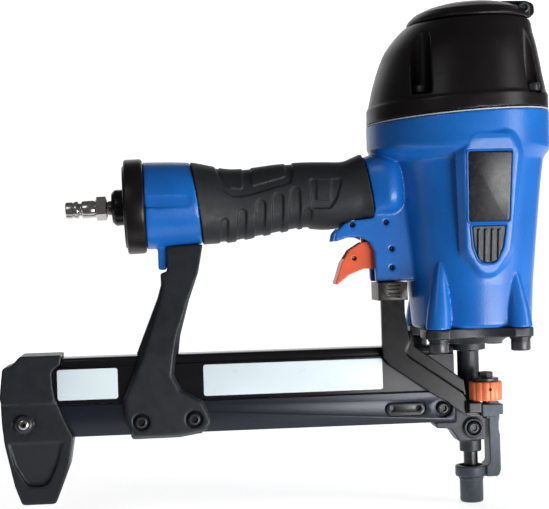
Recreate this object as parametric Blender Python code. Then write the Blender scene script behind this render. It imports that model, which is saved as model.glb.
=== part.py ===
"""Pneumatic concrete nailer, as separate pieces that move on real joints.

Shapes are written in millimetres in the tool's own frame: X forward from the driving axis,
Y sideways (the nameplate side is -Y), Z up from the tip of the contact nozzle. BOX_SHIFT then
puts the origin under the centre of the whole tool's bounding box.
"""

import math

import bmesh
import bpy
from mathutils import Matrix, Vector

MM = 0.001
GAP = 0.3  # clearance between pieces that touch
FRONT = 60.0  # the housing band's front, ahead of the driving axis
REAR = -318.0  # the back of the boot
BOX_SHIFT = -(FRONT + REAR) / 2

# Barrel of the housing: height, centre behind or ahead of the driving axis, radius
BARREL = [
    (121.3, 3.4, 39.6), (123.3, 3.4, 41.0), (150.0, 3.0, 42.8), (205.0, 3.0, 48.4),
    (231.0, 2.0, 52.6), (236.0, 0.5, 55.6), (241.0, -2.0, 61.6), (245.0, -2.85, 62.85),
]
SEAM_Z = 264.2  # where housing and head cap meet, on the driving axis
SEAM_SLOPE = 0.06
CROWN_SLOPE = 0.025  # the cap's flat top leans less than the seam
BAND_CENTRE = -2.85
BAND_RADIUS = 62.85
CAP = [
    (0.0, -2.85, 62.4), (10.0, -2.75, 62.2), (11.5, -2.75, 60.6), (24.0, -2.4, 58.2),
    (37.0, -1.2, 55.2), (47.0, 0.2, 52.0), (55.0, 2.4, 48.0), (61.0, 5.0, 44.6), (63.5, 6.5, 42.4),
]
CAP_SCREW_X = (-34.8, 39.8)
CAP_SCREW_Y = 39.0
BASE_SCREW_X = 27.6
BASE_SCREW_Y = 37.0
BASE_Z = 121.3
CHAMBER_RADIUS = 30.4
DRIVER_RADIUS = 3.2
NOSE_BORE = 3.9

HANDLE_Z = 209.3  # height of the handle's axis at HANDLE_X
HANDLE_X = -225.0
HANDLE_RISE = 0.030  # the handle's axis rises slightly towards the barrel
CORE_RADIUS = 15.0

BLOCK_HALF = 14.5  # trigger block
SLOT_HALF = 9.2
TRIGGER_PIN = (-53.1, 175.7)
LEVER_PIN = (-78.2, 169.9)
GUIDE_PIN = (-53.3, 162.9)
BLOCK_PIN = (-56.6, 193.7)
VALVE_PIN = (-79.6, 192.6)
PIN_RADIUS = 1.4
VALVE_X = -71.0

MAGAZINE_HALF = 12.5
MAGAZINE_Z = (56.8, 78.3, 109.0)
MAGAZINE_X = (-297.0, -12.5)
WHEEL = (7.6, -17.6)  # axis of the depth wheel
SIDES = 32


# ---------------------------------------------------------------- shape helpers

def rounded(points, steps=3):
    """Outline from corners (x, z, radius), each corner turned by an arc of that radius."""
    out = []
    for i, (x, z, r) in enumerate(points):
        here = Vector((x, z))
        if not r:
            out.append(here)
            continue
        a = (Vector(points[i - 1][:2]) - here).normalized()
        b = (Vector(points[(i + 1) % len(points)][:2]) - here).normalized()
        half = a.angle(b) / 2
        reach = r / math.tan(half)
        centre = here + (a + b).normalized() * (r / math.sin(half))
        start, end = here + a * reach - centre, here + b * reach - centre
        sweep = start.angle_signed(end)
        for k in range(steps + 1):
            turn = -sweep * k / steps
            c, s = math.cos(turn), math.sin(turn)
            out.append(centre + Vector((start.x * c - start.y * s, start.x * s + start.y * c)))
    return out


def prism(outline, low, high, axis="Y"):
    """Solid of an outline pushed along Y (outline in X, Z), X (in Y, Z) or Z (in X, Y)."""
    place = {
        "Y": lambda p, t: Vector((p[0], t, p[1])),
        "X": lambda p, t: Vector((t, p[0], p[1])),
        "Z": lambda p, t: Vector((p[0], p[1], t)),
    }[axis]
    return loft([[place(p, t) for p in outline] for t in (low, high)])


def loft(rings, closed=False):
    """Solid through rings of equal length; closed joins the last ring to the first."""
    mesh = bmesh.new()
    rows = [[mesh.verts.new(p) for p in ring] for ring in rings]
    pairs = list(zip(rows, rows[1:])) + ([(rows[-1], rows[0])] if closed else [])
    for low, high in pairs:
        for i in range(len(low)):
            j = (i + 1) % len(low)
            mesh.faces.new((low[i], low[j], high[j], high[i]))
    if not closed:
        mesh.faces.new(rows[0])
        mesh.faces.new(rows[-1])
    bmesh.ops.recalc_face_normals(mesh, faces=mesh.faces)
    return mesh


def circle(radius, sides=SIDES, corners=0):
    """Points round a circle, or round a hexagon whose flats are radius from the centre."""
    points = []
    for i in range(sides):
        a = 2 * math.pi * i / sides
        r = radius
        if corners:
            sector = 2 * math.pi / corners
            r = radius / math.cos((a + sector / 2) % sector - sector / 2)
        points.append((r * math.cos(a), r * math.sin(a)))
    return points


def sides_for(radius):
    """Enough sides for a turned piece of this radius."""
    for limit, sides in ((3.8, 8), (8, 12), (12, 16), (20, 20), (30, 24)):
        if radius < limit:
            return sides
    return SIDES


def turned(profile, centre=(0, 0, 0), axis="Z", sides=0, corners=()):
    """Solid turned from (radius, height) pairs round an axis through the centre.

    A profile that starts and ends away from the axis closes on itself and leaves a bore.
    corners lists the profile points whose ring is a hexagon.
    """
    origin = Vector(centre)
    sides = sides or sides_for(max(radius for radius, _ in profile))
    rings = []
    for k, (radius, height) in enumerate(profile):
        ring = []
        for u, v in circle(max(radius, 0.01), sides, 6 if k in corners else 0):
            local = {"Z": (u, v, height), "X": (height, u, v), "Y": (v, height, u)}[axis]
            ring.append(origin + Vector(local))
        rings.append(ring)
    solid = loft(rings, closed=min(profile[0][0], profile[-1][0]) > 0)
    bmesh.ops.remove_doubles(solid, verts=solid.verts, dist=0.05)
    bmesh.ops.recalc_face_normals(solid, faces=solid.faces)
    return solid


def box(x, y, z):
    return prism([(x[0], z[0]), (x[1], z[0]), (x[1], z[1]), (x[0], z[1])], *y)


def round_sections(sections, seam, crown):
    """Solid through circles at (height, centre x, radius).

    Each leans by so much per mm of X: seam at the lowest circle, crown at the highest.
    """
    rings = []
    low, high = sections[0][0], sections[-1][0]
    for z, x, r in sections:
        lean = seam + (crown - seam) * (z - low) / (high - low)
        rings.append([Vector((x + u, v, z + lean * (x + u))) for u, v in circle(r)])
    return loft(rings)


def handle_z(x):
    return HANDLE_Z + HANDLE_RISE * (x - HANDLE_X)


# ---------------------------------------------------------------- object helpers

def clear_scene():
    for obj in list(bpy.data.objects):
        bpy.data.objects.remove(obj, do_unlink=True)


def finish(name, colour, roughness, metallic):
    mat = bpy.data.materials.get(name) or bpy.data.materials.new(name)
    mat.use_nodes = True
    shader = mat.node_tree.nodes["Principled BSDF"]
    shader.inputs["Base Color"].default_value = (*colour, 1.0)
    shader.inputs["Roughness"].default_value = roughness
    shader.inputs["Metallic"].default_value = metallic
    return mat


def place(name, solid, mat, origin=(0, 0, 0), tilt=None, smooth=40):
    """Object from a solid in tool millimetres, with its own origin on the joint it turns on."""
    if tilt is not None:
        bmesh.ops.transform(solid, matrix=tilt, verts=solid.verts)
    at = Vector(origin)
    shift = Vector((BOX_SHIFT, 0, 0))
    for vert in solid.verts:
        vert.co = (vert.co - at) * MM
    mesh = bpy.data.meshes.new(name)
    solid.to_mesh(mesh)
    solid.free()
    mesh.materials.append(mat)
    mesh.shade_smooth()
    mesh.set_sharp_from_angle(angle=math.radians(smooth))
    obj = bpy.data.objects.new(name, mesh)
    obj.location = (at + shift) * MM
    bpy.context.scene.collection.objects.link(obj)
    return obj


def combine(obj, operation, *solids, tilt=None):
    """Booleans the solids into the object; each solid stays as a hidden wire guide."""
    for i, solid in enumerate(solids):
        guide = place(f"{obj.name}_{operation.lower()}_{len(obj.modifiers)}", solid,
                      obj.data.materials[0], tilt=tilt)
        guide.hide_render = True
        guide.display_type = "WIRE"
        modifier = obj.modifiers.new(f"{operation.lower()}_{i}", "BOOLEAN")
        modifier.operation = operation
        modifier.object = guide
        modifier.solver = "EXACT"


def cut(obj, *solids, tilt=None):
    combine(obj, "DIFFERENCE", *solids, tilt=tilt)


def weld(obj, *solids, tilt=None):
    combine(obj, "UNION", *solids, tilt=tilt)


# ---------------------------------------------------------------- finishes

def finishes():
    return {
        "paint": finish("blue_paint", (0.012, 0.14, 0.64), 0.32, 0.0),
        "cap": finish("black_cap_plastic", (0.012, 0.012, 0.013), 0.35, 0.0),
        "rubber": finish("grip_rubber", (0.03, 0.032, 0.034), 0.65, 0.0),
        "moulded": finish("charcoal_plastic", (0.022, 0.026, 0.030), 0.5, 0.0),
        "black_steel": finish("black_oxide_steel", (0.02, 0.02, 0.022), 0.4, 0.9),
        "grey_steel": finish("phosphate_steel", (0.10, 0.115, 0.125), 0.5, 0.8),
        "bright": finish("zinc_steel", (0.55, 0.53, 0.50), 0.25, 1.0),
        "cast": finish("cast_aluminium", (0.11, 0.12, 0.125), 0.5, 0.7),
        "orange": finish("orange_plastic", (0.80, 0.12, 0.04), 0.4, 0.0),
        "wheel": finish("orange_anodised", (0.83, 0.20, 0.07), 0.4, 0.1),
        "label": finish("white_label", (0.80, 0.86, 0.88), 0.35, 0.0),
        "plate": finish("black_nameplate", (0.008, 0.008, 0.010), 0.2, 0.0),
        "rail": finish("blued_steel", (0.05, 0.06, 0.075), 0.35, 0.9),
        "channel": finish("gloss_black_steel", (0.010, 0.008, 0.008), 0.2, 0.6),
        "seal": finish("seal_rubber", (0.25, 0.25, 0.26), 0.6, 0.0),
        "nylon": finish("piston_nylon", (0.55, 0.50, 0.40), 0.5, 0.0),
    }


# ---------------------------------------------------------------- housing

def barrel(grow=0.0, top=None):
    """The barrel from its foot to the seam, its skin moved out by grow."""
    sections = [(z, x, r + grow) for z, x, r in BARREL]
    rings = [[Vector((x + u, v, z)) for u, v in circle(r)] for z, x, r in sections]
    crown = (SEAM_Z - 0.7 if top is None else top, BAND_CENTRE, BAND_RADIUS + grow)
    rings.append([
        Vector((crown[1] + u, v, crown[0] + SEAM_SLOPE * (crown[1] + u)))
        for u, v in circle(crown[2])
    ])
    return loft(rings)


def oval_x(x, z, height, width, lean=0.0, sides=24, power=2.4):
    """Ring of a rounded section across X, leaning forward towards its foot by lean per mm."""
    ring = []
    for i in range(sides):
        a = 2 * math.pi * i / sides
        c, s = math.cos(a), math.sin(a)
        v = math.copysign(abs(c) ** (2 / power), c) * width / 2
        h = math.copysign(abs(s) ** (2 / power), s) * height / 2
        ring.append(Vector((x + lean * h, v, z + h)))
    return ring


def neck():
    """Root of the handle, which swells into the barrel."""
    return loft([
        oval_x(-66.8, 217.6, 42.0, 40.0, lean=-0.17),
        oval_x(-60.0, 219.0, 45.0, 47.0, lean=-0.12),
        oval_x(-50.0, 219.5, 46.0, 52.0),
        oval_x(-40.0, 219.5, 42.0, 48.0),
        oval_x(-30.0, 219.5, 30.0, 30.0),
    ])


def rear_drum():
    """Painted drum at the back of the handle, its front edge leaning with the grip."""
    return loft([
        oval_x(-219.0, handle_z(-219), 57.0, 57.0, -HANDLE_RISE, power=2.0),
        oval_x(-217.5, handle_z(-217.5), 59.0, 59.0, -HANDLE_RISE, power=2.0),
        oval_x(-200.0, handle_z(-200), 57.6, 57.6, lean=-0.05, power=2.0),
        oval_x(-184.1, handle_z(-184), 55.4, 55.4, lean=-0.136, power=2.0),
    ])


def horn_outline(grow=0.0):
    """Side view of the trigger block and the horn that holds the trigger valve."""
    g = grow
    return rounded([
        (-92.6 - g, 181.2 - g, 0.8), (-91.2 - g, 187.4 + g, 2.0), (-84.8 - g, 193.8 + g, 3.0),
        (-77.5, 195.8 + g, 3.0), (-64.8 - g, 197.0 + g, 1.5), (-64.5 - g, 206.0, 0),
        (-35.0, 206.0, 0), (-33.0, 160.0, 0), (-39.9, 153.8 - g, 1.5), (-64.6 - g, 153.6 - g, 1.5),
        (-65.2 - g, 174.5, 3.0), (-68.6, 181.2 - g, 3.5), (-75.0, 184.3 - g, 4.0),
        (-82.0, 184.4 - g, 4.0),
    ], steps=2)


def pad(side):
    """Raised pad that carries the nameplate."""
    outline = rounded([(-9.8, 172.0, 3), (19.4, 172.0, 3), (24.0, 234.0, 6), (19.0, 246.5, 7),
                       (-9.0, 246.5, 7), (-13.0, 234.0, 6)])
    back = [Vector((x, side * 30.0, z)) for x, z in outline]
    face = [Vector((x, side * pad_depth(z), z)) for x, z in outline]
    return loft([back, face])


def pad_depth(z):
    """How far the pad's face stands from the middle plane at a height."""
    return 48.9 + 0.19 * (z - 172.0)


def housing(paint):
    body = place("housing", barrel(), paint)
    weld(body, neck(), rear_drum(), prism(horn_outline(), -BLOCK_HALF, BLOCK_HALF))
    core = turned([(0, -217.0), (CORE_RADIUS, -217.0), (CORE_RADIUS, -38.0), (0, -38.0)],
                  axis="X")
    weld(body, core, tilt=handle_tilt())
    tab = rounded([(-211.0, 166.0, 1.5), (-205.6, 166.0, 1.5), (-204.0, 174.0, 0),
                   (-204.0, 190.0, 0), (-211.0, 190.0, 0)])
    weld(body, prism(tab, -8.0, 8.0), pad(-1), pad(1))
    for x in (-BASE_SCREW_X, BASE_SCREW_X):
        for y in (-BASE_SCREW_Y, BASE_SCREW_Y):
            inner = Vector((x * 0.62, y * 0.72))
            rings = [(BASE_Z, 8.6, x, y), (150.0, 8.6, x * 0.98, y * 0.97), (172.0, 5.5, *inner)]
            weld(body, loft([[Vector((cx + u, cy + v, z)) for u, v in circle(r, 12)]
                             for z, r, cx, cy in rings]))
            cut(body, turned([(0, 110.0), (3.6, 110.0), (3.6, 140.0), (0, 140.0)], (x, y, 0)))
    chamber = [(0, 110), (CHAMBER_RADIUS, 110), (CHAMBER_RADIUS, 134), (34.0, 138), (34.0, 236),
               (47.0, 246.3), (47.0, 290), (0, 290)]
    cut(body, turned(chamber))
    cut(body, turned([(0, -230.0), (9.0, -230.0), (9.0, -20.0), (0, -20.0)], axis="X"),
        tilt=handle_tilt())
    cut(body, box((-98.0, -45.2), (-SLOT_HALF, SLOT_HALF), (140.0, 190.0)))
    cut(body, turned([(0, 180.0), (5.5, 180.0), (5.5, 206.0), (0, 206.0)], (VALVE_X, 0, 0)))
    for x, z in (TRIGGER_PIN, GUIDE_PIN, BLOCK_PIN, VALVE_PIN):
        cut(body, turned([(0, -30), (PIN_RADIUS + GAP, -30), (PIN_RADIUS + GAP, 30), (0, 30)],
                         (x, 0, z), axis="Y"))
    for x in CAP_SCREW_X:
        for y in (-CAP_SCREW_Y, CAP_SCREW_Y):
            cut(body, turned([(0, 250), (2.8, 250), (2.8, 290), (0, 290)], (x, y, 0)))
    return body


def handle_tilt():
    """Turns a shape made along the X axis onto the handle's axis."""
    turn = Matrix.Rotation(-math.atan(HANDLE_RISE), 4, "Y")
    return Matrix.Translation((0, 0, handle_z(0))) @ turn


def pads_tilt():
    """Turns a thin plate made in the XZ plane at Y = 0 onto the nameplate pad."""
    turn = Matrix.Rotation(math.atan(0.19), 4, "X")
    return Matrix.Translation((0, -pad_depth(172.0), 172.0)) @ turn


def nameplates(mats):
    plate = rounded([(-8.3, 20.4, 1.5), (18.2, 20.4, 1.5), (19.0, 66.0, 1.5), (-9.6, 66.0, 1.5)], 2)
    place("nameplate", prism(plate, -1.4, -GAP), mats["plate"], tilt=pads_tilt())
    shield = rounded([(-5.8, 16.6, 1), (4.8, 1.0, 7), (15.4, 16.6, 1)], 3)
    place("ribbed_insert", prism(shield, -1.6, -GAP), mats["moulded"], tilt=pads_tilt())


# ---------------------------------------------------------------- head

def head_cap(mat):
    sections = [(SEAM_Z + 0.7 + z, x, r) for z, x, r in CAP]
    cap = place("head_cap", round_sections(sections, SEAM_SLOPE, CROWN_SLOPE), mat)
    hollow = [(0, 255), (44.0, 255), (44.0, 298), (36.0, 311), (0, 311)]
    cut(cap, turned(hollow))
    for x in CAP_SCREW_X:
        for y in (-CAP_SCREW_Y, CAP_SCREW_Y):
            cut(cap, turned([(0, 250), (3.0, 250), (3.0, 279.0), (6.6, 279.0), (6.6, 322), (0, 322)],
                            (x, y, 0)))
    cut(cap, turned([(0, 300), (9.0, 300), (9.0, 340), (0, 340)], (6.5, 0, 0)))
    return cap


def deflector(mat):
    """Plate on top of the cap that turns the exhaust air forward."""
    sections = [(328.8, 6.5, 41.0), (330.4, 7.2, 43.0), (336.0, 8.0, 43.4), (339.4, 8.0, 41.0),
                (342.0, 8.0, 33.0), (343.2, 8.0, 20.0)]
    top = place("exhaust_deflector", round_sections(sections, CROWN_SLOPE, CROWN_SLOPE), mat)
    cut(top, turned([(0, 320), (13.0, 320), (13.0, 336), (0, 336)], (8.0, 0, 0)))
    cut(top, box((8.0, 60.0), (-16.0, 16.0), (322.0, 334.0)))
    return top


def head_parts(mats):
    head_cap(mats["cap"])
    deflector(mats["cap"])
    low, high = SEAM_Z - 0.35, SEAM_Z + 0.35
    rings = []
    for z, r in ((low, 50.0), (low, 62.0), (high, 62.0), (high, 50.0)):
        rings.append([Vector((BAND_CENTRE + u, v, z + SEAM_SLOPE * (BAND_CENTRE + u)))
                      for u, v in circle(r)])
    gasket = place("cap_gasket", loft(rings, closed=True), mats["seal"])
    number = 1
    for y in (-CAP_SCREW_Y, CAP_SCREW_Y):
        for x in CAP_SCREW_X:
            cut(gasket, turned([(0, 250), (3.0, 250), (3.0, 290), (0, 290)], (x, y, 0)))
            socket_screw(f"cap_screw_{number}", (x, y, 279.0 + GAP), 5.0, 6.0, 2.2, 24.0,
                         mats["black_steel"], up=1)
            number += 1


def socket_screw(name, seat, head, height, shank, length, mat, up=1, washer=0.0):
    """Socket-head screw: seat is under its head, up is +1 or -1 for the head's side."""
    socket = head * 0.55
    profile = [
        (0, -length), (shank, -length), (shank, 0), (head + washer, 0), (head + washer, 0.9),
        (head, 0.9), (head, height - 0.6), (head - 0.6, height), (socket, height),
        (socket, height * 0.45), (0, height * 0.45),
    ]
    if not washer:
        del profile[4:6]
    profile = [(r, h * up) for r, h in profile]
    corners = [i for i, p in enumerate(profile) if p[0] == socket]
    return place(name, turned(profile, seat, corners=corners), mat)


def side_screw(name, seat, mat):
    """Button-head screw that faces sideways, seated at its point (x, y, z)."""
    x, y, z = seat
    head = [(0, y - 2.6), (3.4, y - 2.6), (4.4, y - 1.8), (4.4, y), (0, y)]
    screw = place(name, turned(head, (x, 0, z), axis="Y"), mat)
    cut(screw, turned([(0, y - 4), (2.3, y - 4), (2.3, y - 1.2), (0, y - 1.2)], (x, 0, z),
                      axis="Y", sides=6))


# ---------------------------------------------------------------- drive parts inside

def drive_parts(mats):
    liner = [(26.0, 122.0), (30.0, 122.0), (30.0, 246.6), (46.6, 246.6), (46.6, 252.0),
             (30.0, 252.0), (29.0, 257.0), (26.0, 257.0)]
    place("cylinder_liner", turned(liner), mats["bright"])
    bumper = [(4.2, 121.6), (25.6, 121.6), (25.6, 140.0), (21.0, 148.0), (8.0, 148.0),
              (4.2, 144.0)]
    place("bumper", turned(bumper), mats["rubber"])
    piston = [(DRIVER_RADIUS + GAP, 236.0), (20.0, 236.0), (25.6, 240.0), (25.6, 250.0),
              (12.0, 250.0), (8.0, 254.0), (DRIVER_RADIUS + GAP, 254.0)]
    place("piston", turned(piston), mats["nylon"])
    blade = [(0, 106.0), (DRIVER_RADIUS, 106.0), (DRIVER_RADIUS, 256.0), (0, 256.0)]
    place("driver_blade", turned(blade), mats["bright"])
    valve = [(13.0, 262.4), (38.0, 262.4), (43.0, 268.0), (43.0, 275.0), (30.0, 275.0),
             (13.0, 271.0)]
    place("head_valve", turned(valve), mats["nylon"])
    place("head_valve_spring", coil(33.5, 1.2, 275.4, 310.6, 4), mats["bright"])


def coil(radius, wire, low, high, turns, centre=(0, 0), per_turn=12, sides=5):
    """Compression spring standing along Z."""
    rings = []
    count = turns * per_turn
    for i in range(count + 1):
        a = 2 * math.pi * i / per_turn
        rise = low + wire + (high - low - 2 * wire) * i / count
        out = Vector((math.cos(a), math.sin(a), 0))
        middle = Vector((centre[0], centre[1], rise)) + out * radius
        rings.append([
            middle + out * (wire * math.cos(b)) + Vector((0, 0, wire * math.sin(b)))
            for b in (2 * math.pi * k / sides for k in range(sides))
        ])
    return loft(rings)


# ---------------------------------------------------------------- nose

def nose(mats):
    flange = rounded([(-38.0, -46.0, 9), (38.0, -46.0, 9), (38.0, 46.0, 9), (-38.0, 46.0, 9)], 3)
    body = place("nose", prism(flange, 115.0, 121.0, "Z"), mats["cast"])
    for x in (-60.0, 60.0):
        cut(body, turned([(0, 100), (30.0, 100), (30.0, 130), (0, 130)], (x, 0, 0)))
    for y in (-66.0, 66.0):
        cut(body, turned([(0, 100), (30.0, 100), (30.0, 130), (0, 130)], (0, y, 0)))
    cone = [(0, 34.9), (7.5, 34.9), (7.5, 104.5), (12.1, 104.5), (12.1, 109.4), (24.0, 110.4),
            (31.0, 115.4), (0, 115.4)]
    weld(body, turned(cone))
    block = rounded([(-11.8, 66.5, 0), (-11.8, 56.4, 0), (-24.6, 56.4, 0), (-26.3, 54.9, 0.6),
                     (-24.4, 52.2, 1.0), (-15.5, 51.8, 5.0), (-9.6, 42.6, 1.0), (8.8, 43.4, 1.0),
                     (8.8, 66.5, 0)], 3)
    weld(body, prism(block, -8.8, 8.8))
    bore = [(0, 20.0), (5.2, 20.0), (5.2, 60.0), (NOSE_BORE, 60.0), (NOSE_BORE, 130.0), (0, 130.0)]
    cut(body, turned(bore))
    cut(body, box((-20.0, 0.0), (-2.2, 2.2), (62.0, 104.0)))
    rim = [(4.9, -11.4), (6.6, -11.4), (6.6, -8.0), (4.9, -8.0)]
    weld(body, turned(rim, (0.2, 0, 51.9), axis="Y"))
    for x in (-BASE_SCREW_X, BASE_SCREW_X):
        for y in (-BASE_SCREW_Y, BASE_SCREW_Y):
            cut(body, turned([(0, 100), (3.8, 100), (3.8, 130), (0, 130)], (x, y, 0)))
    tube = [(DRIVER_RADIUS + 0.45, 12.0), (4.85, 12.0), (4.85, 59.6), (DRIVER_RADIUS + 0.45, 59.6)]
    place("drive_guide", turned(tube), mats["black_steel"])
    side_screw("nose_screw", (0.2, -9.1, 51.9), mats["black_steel"])
    number = 1
    for y in (-BASE_SCREW_Y, BASE_SCREW_Y):
        for x in (-BASE_SCREW_X, BASE_SCREW_X):
            socket_screw(f"base_screw_{number}", (x, y, 115.0 - GAP), 6.5, 9.0, 3.0, 24.0,
                         mats["black_steel"], up=-1, washer=0.7)
            number += 1


# ---------------------------------------------------------------- magazine

def magazine(mats):
    low, split, high = MAGAZINE_Z
    half = MAGAZINE_HALF
    upper = [(-half, split + GAP / 2), (-2.6, split + GAP / 2), (-2.6, 104.0), (2.6, 104.0),
             (2.6, split + GAP / 2), (half, split + GAP / 2), (half, 103.4), (11.7, 104.2),
             (11.7, 107.6), (10.3, high), (-10.3, high), (-11.7, 107.6), (-11.7, 104.2),
             (-half, 103.4)]
    place("magazine_channel", prism(upper, *MAGAZINE_X, "X"), mats["channel"])
    lower = [(-half + 0.8, low), (half - 0.8, low), (half, low + 1.2), (half, split - GAP / 2),
             (2.6, split - GAP / 2), (2.6, 60.0), (-2.6, 60.0), (-2.6, split - GAP / 2),
             (-half, split - GAP / 2), (-half, low + 1.2)]
    rail = place("magazine_rail", prism(lower, *MAGAZINE_X, "X"), mats["rail"])
    cut(rail, prism(pill(-46.8, 67.2, 27.4, 9.6), -20.0, -11.2))
    cut(rail, turned([(0, -20.0), (6.2, -20.0), (6.2, -10.0), (0, -10.0)], (-20.8, 0, 66.3),
                     axis="Y"))
    plate = place("latch_plate", prism(pill(-46.8, 66.9, 26.0, 8.2), -12.9, -11.5),
                  mats["grey_steel"])
    for x in (-56.0, -37.6):
        cut(plate, turned([(0, -20.0), (1.6, -20.0), (1.6, -8.0), (0, -8.0)], (x, 0, 67.4),
                          axis="Y"))
    side_screw("magazine_screw", (-20.8, -10.3, 66.3), mats["black_steel"])
    follower = [(-2.2, 61.0), (2.2, 61.0), (2.2, 103.0), (-2.2, 103.0)]
    pusher = place("nail_pusher", prism(follower, -166.0, -140.0, "X"), mats["black_steel"])
    cut(pusher, turned([(0, -6), (5.0, -6), (5.0, 6), (0, 6)], (-156.0, 0, 88.0), axis="Y"))
    roll = [(1.6, -2.0), (4.6, -2.0), (4.6, 2.0), (1.6, 2.0)]
    place("pusher_spring", turned(roll, (-156.0, 0, 88.0), axis="Y"), mats["bright"])
    for name, x0, x1, z0, z1 in (("rear_label", -279.5, -241.5, 81.4, 100.2),
                                 ("front_label", -183.1, -61.9, 80.9, 99.9)):
        place(name, prism(rounded([(x0, z0, 1.2), (x1, z0, 1.2), (x1, z1, 1.2), (x0, z1, 1.2)], 2),
                          -half - 0.55, -half - 0.2), mats["label"])


def pill(x, z, length, height, steps=6):
    """Outline with straight long sides and round ends."""
    r = height / 2
    points = []
    for side in (1, -1):
        for k in range(steps + 1):
            a = side * math.pi / 2 - math.pi * k / steps
            points.append((x + side * (length / 2 - r) + r * math.cos(a), z + r * math.sin(a)))
    return points


def sleeve_of_magazine(x0, x1, grow=GAP):
    """Space that the magazine takes up, with clearance round it."""
    h = MAGAZINE_HALF + grow
    return box((x0, x1), (-h, h), (MAGAZINE_Z[0] - grow, MAGAZINE_Z[2] + grow))


def magazine_bracket(mats):
    """Leg from the handle down to a clamp round the magazine."""
    shape = rounded([
        (-203.6, 180.6, 0), (-180.8, 181.4, 1.0), (-184.4, 164.0, 6), (-191.2, 145.0, 20),
        (-197.6, 122.0, 20), (-200.8, 97.0, 6), (-196.5, 87.5, 4), (-182.0, 79.5, 4),
        (-175.4, 63.0, 3), (-180.6, 56.6, 3), (-200.0, 53.6, 0), (-231.5, 53.4, 2),
        (-238.2, 68.0, 6), (-239.2, 81.0, 4), (-227.0, 110.6, 20), (-212.2, 147.0, 10),
        (-209.6, 156.0, 3), (-209.8, 163.4, 1.2), (-203.6, 165.0, 0.8),
    ], 3)
    bracket = place("magazine_bracket", prism(shape, -16.4, 16.4), mats["moulded"])
    for side in (-1, 1):
        waste = prism([(side * 16.6, 112), (side * 30, 112), (side * 30, 200), (side * 8.4, 200),
                       (side * 8.4, 152)], -262.0, -158.0, "X")
        cut(bracket, waste)
    cut(bracket, sleeve_of_magazine(-262.0, -158.0))
    number = 1
    for x, z in ((-225.2, 65.3), (-190.0, 66.0)):
        cut(bracket, turned([(0, -24.0), (5.4, -24.0), (5.4, -14.4), (0, -14.4)], (x, 0, z),
                            axis="Y"))
        side_screw(f"bracket_screw_{number}", (x, -14.7, z), mats["black_steel"])
        number += 1


def boot(mats):
    """Moulded foot at the rear end of the magazine, level with the work when the tip is in."""
    shape = rounded([
        (-305.0, 13.4, 3), (-283.0, 13.4, 3), (-271.6, 36.0, 10), (-268.6, 55.8, 1),
        (-276.0, 70.0, 12), (-282.6, 92.0, 8), (-283.6, 101.0, 4), (-277.4, 106.0, 2),
        (-276.8, 111.8, 0.8), (-304.0, 111.8, 3), (-309.0, 106.4, 3), (-315.6, 104.0, 2),
        (-318.0, 84.0, 10), (-315.6, 56.0, 30), (-309.6, 26.0, 10),
    ], 3)
    body = place("boot", prism(shape, -17.0, 17.0), mats["moulded"])
    cut(body, sleeve_of_magazine(-298.0, -260.0))
    foot = rounded([(-309.0, 50.0, 6), (-300.0, 26.0, 7), (-288.0, 26.0, 7), (-275.5, 50.0, 4)], 3)
    for side in (-1, 1):
        cut(body, prism(foot, side * 20.0, side * 13.6))
    hole = [(0, -30.0), (2.9, -30.0), (2.9, 30.0), (0, 30.0)]
    cut(body, turned(hole, (-305.6, 0, 65.5), axis="Y"))
    bolt = [(0, -19.6), (4.8, -19.6), (6.0, -18.6), (6.0, -17.3), (2.5, -17.3), (2.5, 19.5),
            (0, 19.5)]
    place("boot_bolt", turned(bolt, (-305.6, 0, 65.5), axis="Y"), mats["black_steel"])
    nut = [(2.9, 17.3), (5.5, 17.3), (5.5, 20.5), (2.9, 20.5)]
    place("boot_nut", turned(nut, (-305.6, 0, 65.5), axis="Y", corners=(1, 2)),
          mats["black_steel"])


# ---------------------------------------------------------------- handle

def grip(mats):
    sections = [
        (-183.7, 210.3, 56.0, 54.6, -0.136), (-178.0, 209.8, 54.6, 51.0, -0.10),
        (-163.0, 208.4, 50.6, 44.0, -0.05), (-150.0, 209.2, 48.6, 41.5, 0.0),
        (-130.0, 212.0, 47.4, 40.0, 0.0), (-112.0, 213.7, 45.6, 39.5, 0.0),
        (-96.0, 213.2, 46.4, 40.0, -0.05), (-82.0, 214.4, 43.6, 41.0, -0.12),
        (-74.0, 216.8, 43.6, 42.0, -0.17), (-67.6, 217.6, 47.0, 44.0, -0.17),
    ]
    rings = [oval_x(x, z, h, w, lean) for x, z, h, w, lean in sections]
    sleeve = place("grip_sleeve", loft(rings), mats["rubber"])
    bore = CORE_RADIUS + GAP
    cut(sleeve, turned([(0, -230.0), (bore, -230.0), (bore, -40.0), (0, -40.0)], axis="X"),
        tilt=handle_tilt())
    cut(sleeve, prism(horn_outline(GAP), -BLOCK_HALF - GAP, BLOCK_HALF + GAP),
        turned([(0, 180.0), (6.2, 180.0), (6.2, 206.0), (0, 206.0)], (VALVE_X, 0, 0)))


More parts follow.
